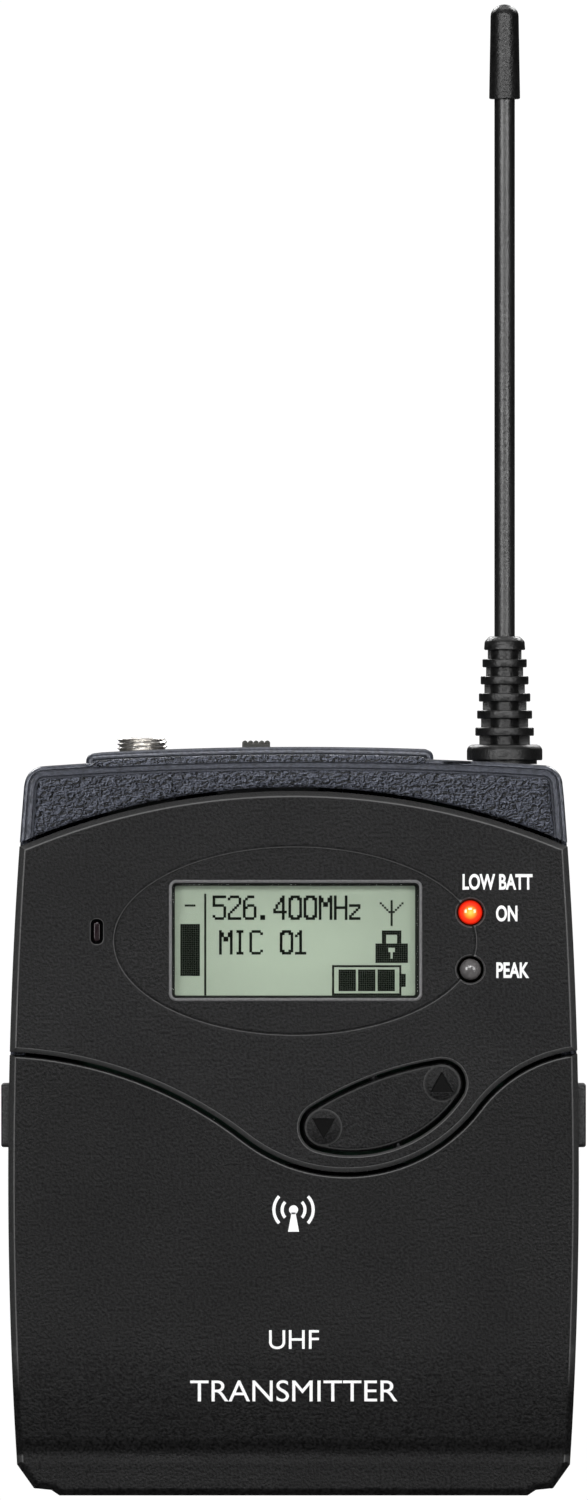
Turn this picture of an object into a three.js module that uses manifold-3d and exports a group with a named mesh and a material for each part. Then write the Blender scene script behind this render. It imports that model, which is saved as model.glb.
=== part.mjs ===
// A wireless bodypack transmitter for professional audio, in millimetres.
// X points to the right of the front face, -Y is the front, +Z is up.
// The origin is the middle of the flat foot, half way through the depth of the case.
import * as THREE from "three";
import { mergeVertices } from "three/addons/utils/BufferGeometryUtils.js";
import Module from "manifold-3d";

const wasm = await Module();
wasm.setup();

// ---------------------------------------------------------------- driving dimensions
const HALF_WIDTH = 31.2; // of the case at its widest
const WIDEST_Z = 35;
const SIDE_RADIUS = 526; // the sides are one long arc
const FRONT = -12;
const BACK = 12;
const WALL = 1.6;
const GAP = 0.3; // clearance between touching pieces
const SEAM = 0.4; // visible gap between the shells
const SPLIT = -4.2; // rear edge of the front shells
const FOOT_HALF = 25.6;
const LEDGE = { inner: [26.5, 0.6], outer: [28.4, 0.8] };
const CHAMFER_TOP = 3.4;
const ROLL_START = 17; // below this height the front face curves back
const ROLL_RADIUS = 50;

// The edge between the control panel and the top cap is one arc about a low centre.
const CROWN = { z: 0.27, r: 77 };
// The edge between the control panel and the battery cover: crest, bowl, crest.
const CREST_LEFT = { x: -32.86, z: 3.45, r: 44.95 };
const BOWL = { x: 5.78, z: 53.32, r: 18.13 };
const CREST_RIGHT = { x: 32.7, z: 32.99, r: 15.61 };

const CAP_SPLIT = 78.1; // top edge of the rear shell
const TOP = 82;
const CAP_CORNER = 2.2;
const CAP_ARC = { x: 0.75, r: 399 };
const SHOULDER_Z = 80.78;
const PLATFORM = { x0: -22.7, x1: 15.3, y: 9.3, z: 81.87 };

const HINGE = { y: -5.6, z: 2.0, barrel: 2.0, ear: 1.35, pin: 0.55, bore: 0.85 };
const EAR = { x0: 25.95, x1: 28.35 };
const LOW_EDGE = { y: -3.0, z: 4.6 }; // rear shell set back for the swing of the cover
const FLOOR_CUT = 0.4; // above the hinge axis, where the cover's floor ends

const SCREWS = [[-24, 10], [24, 10], [-24, 66], [24, 66]];
const HOUSING_SCREW = { headR: 2.15, shankR: 1.05, headY: 10.5, headT: 1.1, high: 1, low: 6.1 };
const BOSS = { rear: 3.3, front: 2.4, sink: 2.5, bore: 1.4, trayBore: 1.45 };
const CHARGER = { x0: 29.3, x1: 30.6, y: 4, z: 14, r: 1.55, hole: 1.9 };

const CELL = { r: 7.1, body: 49, nub: 1, nubR: 2.75, y: -2.2, lower: 11.2, upper: 26.2 };
const BAY = { x: 27, z0: 4.2, z1: 33.8, y0: -8.2, y1: 5.5, wall: 1.0 };
const DECK = { x: 23.2, y0: -8.8, y1: -7.6, inset: 0.8 };

const WINDOW = { x0: -13.5, x1: 14.3, z0: 53.9, z1: 67.3 };
const LCD_GLASS = { x0: -14.6, x1: 15.4, y0: -10.1, y1: -8.5, z0: 53, z1: 68.2 };
const LCD_FRAME = { y0: -10, y1: -5.2, gap: 0.3, wall: 1.0 };
const BACKLIGHT = { y0: -8.2, y1: -6.9, inset: 0.1 };
const CONTROL_BOARD = { y0: -4.4, y1: -3.4 };
const MAIN_BOARD = { y0: 7.6, y1: 8.6, x: 27.6, z0: 36.5, z1: 76 };
const SHIELD = { x0: -2, x1: 18, y0: 2.9, y1: 7.3, z0: 42, z1: 62, wall: 0.4 };
const SWITCH = { side: 4, y0: -5.4, y1: -4.7, plunger: 0.9, tip: -5.75 };

const ROCKER = {
  x: 9.745, z: 42.7, tilt: 20.4, half: 6.887, end: 2.25, top: 2.94, bottom: 4.45, axleY: -8.0,
};
const ON_OFF = { x: -17, z: 40.5, r: 2.4 };
const SET = { x: 19.9, z: 37.9, r: 1.7 };
const LED_X = 19.33;
const LED_ON_Z = 63.8;
const LED_PEAK_Z = 57.56;
const INFRARED = { x: -21.5, z: 61.7, w: 1.3, h: 2.7 };

const CATCH = { z0: 38.1, z1: 45.1, y0: -10.1, y1: -5.7, out: 31.98 };
const CATCH_SPRING = { x0: 25.5, x1: 27.9, y: -7.9, z: 41.6, r: 1.25, wire: 0.25 };
const KEEPER = { x0: 28.65, x1: 30, z0: 39, z1: 44.2 };
const SPRING_SEAT = { x0: 23.6, x1: 24.5, z0: 40, z1: 43.2 };
const JACK = { x: -16.6, r: 2.7, top: 82.9 };
const MUTE = { x0: -5.64, x1: -2.57, y: 1.6, top: 82.6, travel: 2 };
const ANTENNA = { x: 23.17, flange: 4.15, flangeZ: 80.5, bootZ: 82.5 };
const WHIP = { r: 1.125, z0: 82.8, z1: 160.6 };
const TIP = { z0: 153, z1: 163.4, rTop: 1.55, rBottom: 1.7, bore: 1.425 };

const CLIP = { x: 11, thick: 1, y: 17.7, pinY: 15.9, pinZ: 63, pinR: 1, barrel: 2.3 };
const BRACKET = { x: 13, y0: 12.3, y1: 13.3, z0: 58, z1: 71, lug0: 11.4, lug1: 12.8 };
const CLIP_SPRING = { half: 4.2, r: 1.9, bore: 1.3 };
const CLIP_SCREW = { x: 8, z: 68, headR: 1.9, shankR: 1.0, headY: 13.6, headT: 0.9, end: 10.6, hole: 1.3 };

const radians = THREE.MathUtils.degToRad;

// The X limits from a to b on the right of the object, or their mirror image on the left.
const span = (side, a, b) => (side > 0 ? [a, b] : [-b, -a]);
const SIDES = [["left", -1], ["right", 1]];

// ---------------------------------------------------------------- solids
function solid(geometry) {
  const bare = geometry.index ? geometry.toNonIndexed() : geometry.clone();
  bare.deleteAttribute("normal");
  bare.deleteAttribute("uv");
  const merged = mergeVertices(bare, 1e-4);
  const mesh = new wasm.Mesh({
    numProp: 3,
    vertProperties: merged.attributes.position.array,
    triVerts: new Uint32Array(merged.index.array),
  });
  return new wasm.Manifold(mesh);
}

function geometryOf(body) {
  const mesh = body.getMesh();
  const geometry = new THREE.BufferGeometry();
  geometry.setAttribute("position", new THREE.BufferAttribute(mesh.vertProperties, 3));
  geometry.setIndex(new THREE.BufferAttribute(mesh.triVerts, 1));
  return geometry;
}

const join = (bodies) => bodies.reduce((sum, body) => sum.add(body));
const cut = (body, tools) => tools.reduce((rest, tool) => rest.subtract(tool), body);

function block(x0, x1, y0, y1, z0, z1) {
  const box = new THREE.BoxGeometry(x1 - x0, y1 - y0, z1 - z0);
  box.translate((x0 + x1) / 2, (y0 + y1) / 2, (z0 + z1) / 2);
  return solid(box);
}

// A block on one side of the object, between the distances a and b from its middle.
function sideBlock(side, a, b, y0, y1, z0, z1) {
  return block(...span(side, a, b), y0, y1, z0, z1);
}

function sideRod(side, r, a, b, y, z, sides = 20) {
  return rodX(r, ...span(side, a, b), y, z, sides);
}

function rodX(r, x0, x1, y, z, sides = 20) {
  const bar = new THREE.CylinderGeometry(r, r, x1 - x0, sides);
  bar.rotateZ(-Math.PI / 2).translate((x0 + x1) / 2, y, z);
  return solid(bar);
}

function rodY(r, y0, y1, x, z, sides = 20) {
  const bar = new THREE.CylinderGeometry(r, r, y1 - y0, sides);
  bar.translate(x, (y0 + y1) / 2, z);
  return solid(bar);
}

function rodZ(r, z0, z1, x, y, sides = 20) {
  const bar = new THREE.CylinderGeometry(r, r, z1 - z0, sides);
  bar.rotateX(Math.PI / 2).translate(x, y, (z0 + z1) / 2);
  return solid(bar);
}

// The points of an outline, without the doubled ones where two arcs meet.
function outlinePoints(shape, curveSegments) {
  const points = shape.getPoints(curveSegments);
  return points.filter((p, i) => p.distanceTo(points[(i + 1) % points.length]) > 0.01);
}

function extrude(points, depth) {
  return new THREE.ExtrudeGeometry(new THREE.Shape(points), { depth, bevelEnabled: false });
}

// A flat outline in X and Z, made solid from y0 to y1.
function plate(shape, y0, y1, curveSegments = 4) {
  const slab = extrude(outlinePoints(shape, curveSegments), y1 - y0);
  slab.rotateX(Math.PI / 2).translate(0, y1, 0);
  return solid(slab);
}

// An outline in Y and Z, made solid from x0 to x1.
function sidePlate(shape, x0, x1, curveSegments = 3) {
  const slab = extrude(outlinePoints(shape, curveSegments), x1 - x0);
  const alongX = new THREE.Matrix4().makeBasis(
    new THREE.Vector3(0, 1, 0),
    new THREE.Vector3(0, 0, 1),
    new THREE.Vector3(1, 0, 0),
  );
  slab.applyMatrix4(alongX).translate(x0, 0, 0);
  return solid(slab);
}

function prism(points, x0, x1) {
  const corners = points.map(([y, z]) => new THREE.Vector2(y, z));
  return sidePlate(new THREE.Shape(corners), x0, x1);
}

// A profile of [radius, height] points turned about the Z axis.
function turned(profile, sides = 20) {
  const points = profile.map(([r, z]) => new THREE.Vector2(r, z));
  return new THREE.LatheGeometry(points, sides).rotateX(Math.PI / 2);
}

function rectangle(x0, x1, z0, z1) {
  const corners = [[x0, z0], [x1, z0], [x1, z1], [x0, z1]];
  return new THREE.Shape(corners.map(([x, z]) => new THREE.Vector2(x, z)));
}

function roundedRectangle(x0, x1, z0, z1, r) {
  const shape = new THREE.Shape();
  shape.absarc(x1 - r, z0 + r, r, -Math.PI / 2, 0, false);
  shape.absarc(x1 - r, z1 - r, r, 0, Math.PI / 2, false);
  shape.absarc(x0 + r, z1 - r, r, Math.PI / 2, Math.PI, false);
  shape.absarc(x0 + r, z0 + r, r, Math.PI, 1.5 * Math.PI, false);
  return shape;
}

// ---------------------------------------------------------------- outlines of the case
const sideAngle = (z, r) => Math.asin((z - WIDEST_Z) / r);

function sideX(z, inset = 0) {
  const r = SIDE_RADIUS - inset;
  return HALF_WIDTH - SIDE_RADIUS + r * Math.cos(sideAngle(z, r));
}

function rightSide(shape, z0, z1, inset = 0) {
  const r = SIDE_RADIUS - inset;
  shape.absarc(HALF_WIDTH - SIDE_RADIUS, WIDEST_Z, r, sideAngle(z0, r), sideAngle(z1, r), false);
}

function leftSide(shape, z1, z0, inset = 0) {
  const r = SIDE_RADIUS - inset;
  const from = Math.PI - sideAngle(z1, r);
  const to = Math.PI - sideAngle(z0, r);
  shape.absarc(SIDE_RADIUS - HALF_WIDTH, WIDEST_Z, r, from, to, false);
}

// The lower edge of the case from left to right, with its foot, ledges and chamfered corners.
function underside(shape, inset = 0) {
  const floor = LEDGE.outer[1] + 0.58 * inset;
  const ledge = LEDGE.outer[0] - 0.815 * inset;
  shape.lineTo(-ledge, floor);
  if (inset === 0) {
    shape.lineTo(-LEDGE.inner[0], LEDGE.inner[1]);
    shape.lineTo(-FOOT_HALF, 0);
    shape.lineTo(FOOT_HALF, 0);
    shape.lineTo(LEDGE.inner[0], LEDGE.inner[1]);
  }
  shape.lineTo(ledge, floor);
}

const chamferTop = (inset) => CHAMFER_TOP + 0.3 * inset;

function caseShape(top, inset = 0) {
  const low = chamferTop(inset);
  const shape = new THREE.Shape();
  shape.moveTo(-sideX(low, inset), low);
  underside(shape, inset);
  rightSide(shape, low, top, inset);
  leftSide(shape, top, low, inset);
  return shape;
}

// The case from its foot to above its top, between the depths y0 and y1.
const caseSlab = (inset, y0, y1) => plate(caseShape(TOP + 5, inset), y0, y1);

// Everything below the seam over the battery cover, with the seam moved up by up.
function belowSeam(up) {
  const joinLeft = Math.atan2(BOWL.z - CREST_LEFT.z, BOWL.x - CREST_LEFT.x);
  const joinRight = Math.atan2(BOWL.z - CREST_RIGHT.z, BOWL.x - CREST_RIGHT.x);
  const angleAt = (crest, x) => Math.acos((x - crest.x) / (crest.r + up));
  const start = angleAt(CREST_RIGHT, 32);
  const end = angleAt(CREST_LEFT, -32);
  const shape = new THREE.Shape();
  shape.absarc(CREST_RIGHT.x, CREST_RIGHT.z, CREST_RIGHT.r + up, start, joinRight, false);
  shape.absarc(BOWL.x, BOWL.z, BOWL.r - up, joinRight + Math.PI, joinLeft + Math.PI, true);
  shape.absarc(CREST_LEFT.x, CREST_LEFT.z, CREST_LEFT.r + up, joinLeft, end, false);
  shape.lineTo(-32, -5);
  shape.lineTo(32, -5);
  return plate(shape, -20, 20, 6);
}

const topZ = (x, height) => height - (x - CAP_ARC.x) ** 2 / (2 * CAP_ARC.r);

// The upper part of the case outline, with or without the platform that carries the sockets.
function capOutline(platform) {
  const low = 70;
  const corner = sideX(CAP_SPLIT) - CAP_CORNER;
  const cornerZ = topZ(corner, SHOULDER_Z) - CAP_CORNER;
  const cornerZLeft = topZ(-corner, SHOULDER_Z) - CAP_CORNER;
  const shape = new THREE.Shape();
  shape.moveTo(-sideX(low), low);
  shape.lineTo(sideX(low), low);
  rightSide(shape, low, cornerZ);
  shape.absarc(corner, cornerZ, CAP_CORNER, 0, Math.PI / 2, false);
  const x0 = platform ? PLATFORM.x0 : -corner;
  const x1 = platform ? PLATFORM.x1 : corner;
  const height = platform ? PLATFORM.z : SHOULDER_Z;
  const steps = 8;
  if (platform) shape.lineTo(x1, topZ(x1, SHOULDER_Z));
  for (let i = steps; i >= 0; i -= 1) {
    const x = x0 + ((x1 - x0) * i) / steps;
    shape.lineTo(x, topZ(x, height));
  }
  if (platform) shape.lineTo(x0, topZ(x0, SHOULDER_Z));
  shape.absarc(-corner, cornerZLeft, CAP_CORNER, Math.PI / 2, Math.PI, false);
  leftSide(shape, cornerZLeft, low);
  return shape;
}

// Everything below the crown arc.
function underCrown(grow) {
  const r = CROWN.r + grow;
  const half = Math.acos(40 / r);
  const shape = new THREE.Shape();
  shape.absarc(0, CROWN.z, r, half, Math.PI - half, false);
  shape.lineTo(-40, 20);
  shape.lineTo(40, 20);
  return plate(shape, -20, 20, 14);
}

// Behind the front face, which leans back towards the foot.
function behindFace(inset) {
  const points = [[BACK + 1, 90], [FRONT + inset, 90]];
  const steps = 6;
  for (let i = 0; i <= steps; i += 1) {
    const z = ROLL_START - ((ROLL_START + 2) * i) / steps;
    points.push([FRONT + inset + (ROLL_START - z) ** 2 / (2 * ROLL_RADIUS), z]);
  }
  points.push([BACK + 1, -2]);
  return prism(points, -40, 40);
}

// An outline made of two end circles, a flat arc above and a deep arc below, turned to its place.
function rockerShape(grow = 0) {
  const { half, end, top, bottom } = ROCKER;
  const arcRadius = (bulge) => (half ** 2 + bulge ** 2 - end ** 2) / (2 * (bulge - end));
  const topR = arcRadius(top);
  const bottomR = arcRadius(bottom);
  const turn = radians(ROCKER.tilt);
  const lean = Math.atan2(half, topR - top);
  const deep = Math.atan2(half, bottomR - bottom);
  const shape = new THREE.Shape();
  const arc = (u, v, r, from, to) => {
    const x = ROCKER.x + u * Math.cos(turn) - v * Math.sin(turn);
    const z = ROCKER.z + u * Math.sin(turn) + v * Math.cos(turn);
    shape.absarc(x, z, r, from + turn, to + turn, false);
  };
  arc(0, top - topR, topR + grow, Math.PI / 2 - lean, Math.PI / 2 + lean);
  arc(-half, 0, end + grow, Math.PI / 2 + lean, 1.5 * Math.PI - deep);
  arc(0, bottomR - bottom, bottomR + grow, 1.5 * Math.PI - deep, 1.5 * Math.PI + deep);
  arc(half, 0, end + grow, 1.5 * Math.PI + deep, 2.5 * Math.PI - lean);
  return shape;
}

// A solid built along the rocker's own axes, u along it and v across it, turned to its place.
function alongRocker(body) {
  return body.rotate([0, -ROCKER.tilt, 0]).translate([ROCKER.x, 0, ROCKER.z]);
}

// ---------------------------------------------------------------- shells
function rearShell() {
  const inside = caseSlab(WALL, SPLIT - 1, BACK - WALL);
  const swing = block(-40, 40, SPLIT, LOW_EDGE.y, -1, LOW_EDGE.z);
  const shell = cut(plate(caseShape(CAP_SPLIT), SPLIT + SEAM, BACK), [inside, swing]);
  const { y, z, ear, bore } = HINGE;
  const added = [];
  const removed = [];
  for (const [, side] of SIDES) {
    added.push(sideBlock(side, EAR.x0, EAR.x1, y, LOW_EDGE.y + 2, z - ear, z + ear));
    added.push(sideRod(side, ear, EAR.x0, EAR.x1, y, z));
    added.push(sideBlock(side, KEEPER.x0, KEEPER.x1, SPLIT + SEAM, LOW_EDGE.y, KEEPER.z0, KEEPER.z1));
    removed.push(sideRod(side, bore, EAR.x0 - 1, EAR.x1 + 1, y, z, 12));
    removed.push(sideRod(side, CHARGER.hole, 27, 33, CHARGER.y, CHARGER.z));
    removed.push(rodY(CLIP_SCREW.hole, 9, 13, side * CLIP_SCREW.x, CLIP_SCREW.z, 12));
  }
  for (const [screwX, screwZ] of SCREWS) {
    added.push(rodY(BOSS.rear, 8.4, BACK - 1, screwX, screwZ));
    removed.push(rodY(BOSS.sink, HOUSING_SCREW.headY - GAP, BACK + 1, screwX, screwZ));
    removed.push(rodY(BOSS.bore, 8, BACK, screwX, screwZ, 12));
  }
  return cut(join([shell, ...added]), removed);
}

function topCap() {
  const low = CAP_SPLIT + SEAM;
  const above = block(-40, 40, -20, 20, low, 90);
  const front = plate(capOutline(false), FRONT, SPLIT).subtract(underCrown(SEAM / 2));
  const top = plate(capOutline(false), FRONT, BACK).intersect(above);
  const raised = plate(capOutline(true), -PLATFORM.y, PLATFORM.y).intersect(above);
  const halfInside = sideX(CAP_SPLIT) - WALL;
  const lowInside = PLATFORM.z - 1.67;
  const jackSide = [PLATFORM.x0 + 1.5, PLATFORM.x1 - 1.5];
  const slot = [MUTE.x0 - 0.35, MUTE.x1 + MUTE.travel + 0.35];
  return cut(join([front, top, raised]), [
    block(-27.2, 27.2, FRONT + WALL, BACK - WALL, 60, SHOULDER_Z - 2.2),
    block(-halfInside, halfInside, FRONT + WALL, 0, 60, CAP_SPLIT - 0.4),
    block(jackSide[0], jackSide[1], 1.5 - PLATFORM.y, PLATFORM.y - 1.5, 60, lowInside),
    block(slot[0], slot[1], -MUTE.y - 0.35, MUTE.y + 0.35, 75, 85),
    rodZ(JACK.r + GAP, 75, 85, JACK.x, 0, 24),
    rodZ(3.2, 75, 85, ANTENNA.x, 0, 24),
    rodZ(ANTENNA.flange + 0.35, 79.9, 85, ANTENNA.x, 0, 24),
  ]);
}

function frontPanel() {
  const panel = (inset, y0, y1) =>
    caseSlab(inset, y0, y1)
      .intersect(underCrown(-SEAM / 2 - inset))
      .subtract(belowSeam(SEAM / 2 + inset));
  const boardRoom = block(-27, 27, -7.2, SPLIT + 1, 30, 60);
  const shell = panel(0, FRONT, SPLIT)
    .subtract(panel(WALL, FRONT + WALL, SPLIT + 1))
    .subtract(boardRoom);
  const posts = SCREWS.filter(([, z]) => z > WIDEST_Z).map(([x, z]) =>
    rodY(BOSS.front, FRONT + 1, 4.5, x, z),
  );
  const lugs = [[-6.2, -5.0], [3.45, 4.9]].map(([v0, v1]) =>
    alongRocker(block(-1.2, 1.2, FRONT + 1, ROCKER.axleY + 1.1, v0, v1)),
  );
  const hole = (shape) => plate(shape, FRONT - 1, FRONT + WALL + 0.5);
  const window = rectangle(WINDOW.x0 - GAP, WINDOW.x1 + GAP, WINDOW.z0 - GAP, WINDOW.z1 + GAP);
  const lampHole = (z) => rodY(1.7, FRONT - 1, FRONT + WALL + 0.5, LED_X, z);
  const { x, z, w, h } = INFRARED;
  return cut(join([shell, ...posts, ...lugs]), [
    hole(window),
    hole(rockerShape(0.4)),
    hole(roundedRectangle(x - w / 2, x + w / 2, z - h / 2, z + h / 2, 0.5)),
    lampHole(LED_ON_Z),
    lampHole(LED_PEAK_Z),
    alongRocker(rodZ(0.9, -5.9, 6, 0, ROCKER.axleY, 12)),
    ...SCREWS.map(([screwX, screwZ]) => rodY(BOSS.bore, -4, 6, screwX, screwZ, 12)),
  ]);
}

function batteryCover() {
  const outer = caseSlab(0, FRONT, SPLIT).intersect(belowSeam(-SEAM / 2)).intersect(behindFace(0));
  const inside = caseSlab(WALL, FRONT, 0).intersect(behindFace(WALL));
  const { y, z, barrel, bore } = HINGE;
  const floorBehind = block(-40, 40, y, 0, -1, z + FLOOR_CUT);
  const corners = [];
  const added = [rodX(barrel, -FOOT_HALF, FOOT_HALF, y, z)];
  const removed = [];
  for (const [, side] of SIDES) {
    const { y0, y1, z0, z1 } = CATCH;
    const seat = SPRING_SEAT;
    corners.push(sideBlock(side, EAR.x1 + 0.35, 40, y, SPLIT, -1, z + 1));
    added.push(sideBlock(side, seat.x0, seat.x1, FRONT + 1, -6.9, seat.z0, seat.z1));
    removed.push(sideBlock(side, EAR.x0 - 0.35, EAR.x1 + 0.35, -7.5, 0, -1, 3.9));
    removed.push(sideRod(side, bore, 20.6, 40, y, z, 12));
    removed.push(sideBlock(side, 27, 33, y0 - GAP, y1 + GAP, z0 - GAP, z1 + GAP));
  }
  const shell = outer.subtract(inside);
  return cut(join([shell.subtract(floorBehind), shell.intersect(join(corners)), ...added]), removed);
}

// ---------------------------------------------------------------- catches, buttons, switches
function catchSolid(side) {
  const { y0, y1, z0, z1, out } = CATCH;
  const { x1, y, z } = CATCH_SPRING;
  const body = join([
    sidePlate(roundedRectangle(y0, y1, z0, z1, 0.5), 28.6, out),
    block(28.2, 29.15, FRONT + WALL + GAP, -5, z0 - 0.8, z1 + 0.7),
    block(27.4, 28.3, -6, -1.8, KEEPER.z0 + 0.6, KEEPER.z1 - 0.6),
    rodX(0.7, 26.6, x1 + 0.5, y, z, 12),
  ]);
  return side > 0 ? body : body.mirror([1, 0, 0]);
}

function springSleeve(side) {
  const { x0, x1, y, z, r, wire } = CATCH_SPRING;
  return sideRod(side, r, x0, x1, y, z, 16).subtract(sideRod(side, r - wire, x0 - 1, x1 + 1, y, z, 16));
}

function rockerButton() {
  const legs = [-ROCKER.half, ROCKER.half].map((u) => alongRocker(rodY(1.2, -10, -6.35, u, 0)));
  const lug = alongRocker(block(-1.6, 1.6, -10, -6.8, -2.6, 2.2));
  const bore = alongRocker(rodZ(0.9, -4, 4, 0, ROCKER.axleY, 12));
  return join([plate(rockerShape(), -12.15, -9.6), ...legs, lug]).subtract(bore);
}

function pushButton({ x, z, r }) {
  return join([rodY(r, -10, -7, x, z, 24), rodY(r + 0.7, -7.3, -6.6, x, z, 24)]);
}

function tactSwitch(x, z) {
  const s = SWITCH.side / 2;
  return join([
    block(x - s, x + s, SWITCH.y0, SWITCH.y1, z - s, z + s),
    rodY(SWITCH.plunger, SWITCH.tip, SWITCH.y0 + 0.2, x, z, 12),
  ]);
}

// ---------------------------------------------------------------- display and lamps
function lcdFrame() {
  const { x0, x1, z0, z1 } = LCD_GLASS;
  const { y0, y1, gap, wall } = LCD_FRAME;
  const rim = (grow, from, to) => block(x0 - grow, x1 + grow, from, to, z0 - grow, z1 + grow);
  return rim(gap + wall, y0, y1).subtract(rim(gap, y0 - 1, y1 + 1));
}

function lamp(z, r, front) {
  const profile = [[0, 0], [r, 0], [r, 2.4], [r * 0.85, 2.9], [r * 0.5, 3.25], [0, 3.4]];
  const geometry = turned(profile, 16);
  geometry.rotateX(Math.PI / 2).translate(LED_X, front + 3.4, z);
  return geometry;
}

// ---------------------------------------------------------------- battery compartment
function batteryTray() {
  const { x, z0, z1, y0, y1, wall } = BAY;
  const deck = block(-DECK.x, DECK.x, DECK.y0, DECK.y1, z1, 60);
  const walls = [
    block(-x - wall, x + wall, y1, y1 + 1.2, z0, z1 + wall),
    block(-x - wall, -x, y0, y1 + 0.6, z0, z1 + 0.5),
    block(x, x + wall, y0, y1 + 0.6, z0, z1 + 0.5),
    block(-x - wall, x + wall, y0, y1 + 0.6, z1, z1 + wall),
    deck.intersect(belowSeam(-DECK.inset)),
    block(-DECK.x, DECK.x, DECK.y0, y0 + 1, z1, z1 + wall),
  ];
  const round = (z) => rodX(CELL.r + GAP, -x, x, CELL.y, z, 32);
  const cells = [round(CELL.lower), round(CELL.upper)];
  const ribs = [-18, 0, 18].map((rib) =>
    cut(block(rib - 0.6, rib + 0.6, 1, y1 + 0.5, z0 + 0.4, z1 + 0.5), cells),
  );
  const posts = SCREWS.filter(([, z]) => z < z1).map(([px, pz]) =>
    rodY(BOSS.front, y1 + 0.5, 8.1, px, pz),
  );
  return cut(join([...walls, ...ribs, ...posts]), [
    rodY(ON_OFF.r + 0.35, -10, -7, ON_OFF.x, ON_OFF.z, 24),
    rodY(SET.r + 0.35, -10, -7, SET.x, SET.z, 24),
    ...SCREWS.map(([screwX, screwZ]) => rodY(BOSS.trayBore, y1 + 0.2, 9, screwX, screwZ, 12)),
  ]);
}

function cell(positive) {
  const { r, body, nub, nubR } = CELL;
  const profile = [
    [0, 0], [r - 0.4, 0], [r, 0.4], [r, body - 0.5], [r - 0.5, body],
    [nubR, body], [nubR, body + nub - 0.2], [nubR - 0.2, body + nub], [0, body + nub],
  ];
  const geometry = turned(profile, 20);
  geometry.translate(0, 0, 1 - (body + nub) / 2);
  return geometry.rotateY((positive * Math.PI) / 2);
}

function contactSpring(side) {
  const cone = turned([[0, 0], [3.2, 0], [3.2, 0.5], [1.9, 1.7], [0, 1.7]], 16);
  cone.rotateY((-side * Math.PI) / 2).translate(side * 26.05, CELL.y, 0);
  return cone;
}

// ---------------------------------------------------------------- electronics
// Wide behind the display, narrow between the screw posts above and the catches below.
function controlBoard() {
  const right = [[23, 36.2], [23, 47], [26, 52], [26, 62], [20.5, 63], [20.5, 71.5]];
  const left = right.map(([x, z]) => [-x, z]).reverse();
  const corners = [...right, ...left].map(([x, z]) => new THREE.Vector2(x, z));
  return plate(new THREE.Shape(corners), CONTROL_BOARD.y0, CONTROL_BOARD.y1);
}

function mainBoard() {
  const { x, y0, y1, z0, z1 } = MAIN_BOARD;
  const board = block(-x, x, y0, y1, z0, z1);
  const corners = SIDES.map(([, side]) => sideBlock(side, 20, 40, y0 - 1, y1 + 1, 61.5, 80));
  return cut(board, [...corners, block(-11, 11, y0 - 1, y1 + 1, 65, 71)]);
}

function shieldCan() {
  const { x0, x1, y0, y1, z0, z1, wall } = SHIELD;
  const room = block(x0 + wall, x1 - wall, y0 + wall, y1 + 1, z0 + wall, z1 - wall);
  return block(x0, x1, y0, y1, z0, z1).subtract(room);
}

// ---------------------------------------------------------------- top fittings
function jackBushing() {
  const profile = [[1.8, 77.2], [2.35, 77.2], [2.35, 81.3]];
  const ridges = 2;
  const pitch = 0.7;
  for (let i = 0; i < ridges; i += 1) {
    const z = 81.35 + i * pitch;
    profile.push([JACK.r, z + 0.25], [2.45, z + 0.55]);
  }
  profile.push([2.55, JACK.top - 0.1], [2.4, JACK.top], [1.8, JACK.top], [1.8, 77.2]);
  return turned(profile, 18);
}

function muteSlider() {
  const shape = new THREE.Shape();
  const { x0, x1, top } = MUTE;
  const ridges = 5;
  const pitch = (x1 - x0) / ridges;
  shape.moveTo(x0, 79.2);
  shape.lineTo(x1, 79.2);
  shape.lineTo(x1, top - pitch / 2);
  for (let i = ridges - 1; i >= 0; i -= 1) {
    shape.absarc(x0 + pitch * (i + 0.5), top - pitch / 2, pitch / 2, 0.15, Math.PI - 0.15, false);
  }
  shape.lineTo(x0, top - pitch / 2);
  const knob = plate(shape, -MUTE.y, MUTE.y, 4);
  return join([knob, block(-8.2, 0.2, -2.4, 2.4, 78.6, 79.6)]);
}

function antennaBase() {
  const { flange, flangeZ } = ANTENNA;
  return turned([
    [0, 74], [2.9, 74], [2.9, 80.2], [3.5, 80.2], [3.5, flangeZ], [flange - 0.35, flangeZ],
    [flange, flangeZ + 0.35], [flange, 81.6], [3.6, 82.2], [0, 82.2],
  ], 20);
}

// Six rings on a tapering core, each ring smaller than the one below.
function antennaBoot() {
  const rings = 6;
  const pitch = 1.88;
  const height = 0.95;
  const profile = [[1.45, ANTENNA.bootZ], [2.8, ANTENNA.bootZ]];
  for (let i = 0; i < rings; i += 1) {
    const z = 83.1 + i * pitch;
    const r = 3.22 - 0.196 * i;
    const core = 2.75 - 0.19 * i;
    profile.push([core, z], [r, z + 0.1], [r, z + height - 0.1], [core - 0.05, z + height]);
  }
  profile.push([1.75, 93.75], [1.6, 94], [1.45, 94], [1.45, ANTENNA.bootZ]);
  return turned(profile, 16);
}

function antennaTip() {
  const { z0, z1, rTop, rBottom, bore } = TIP;
  return turned([
    [0, 160.9], [bore, 160.9], [bore, z0], [rBottom - 0.15, z0], [rBottom, z0 + 0.2],
    [rTop, z1 - 1.2], [rTop * 0.8, z1 - 0.45], [rTop * 0.4, z1 - 0.1], [0, z1],
  ], 16);
}

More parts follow.
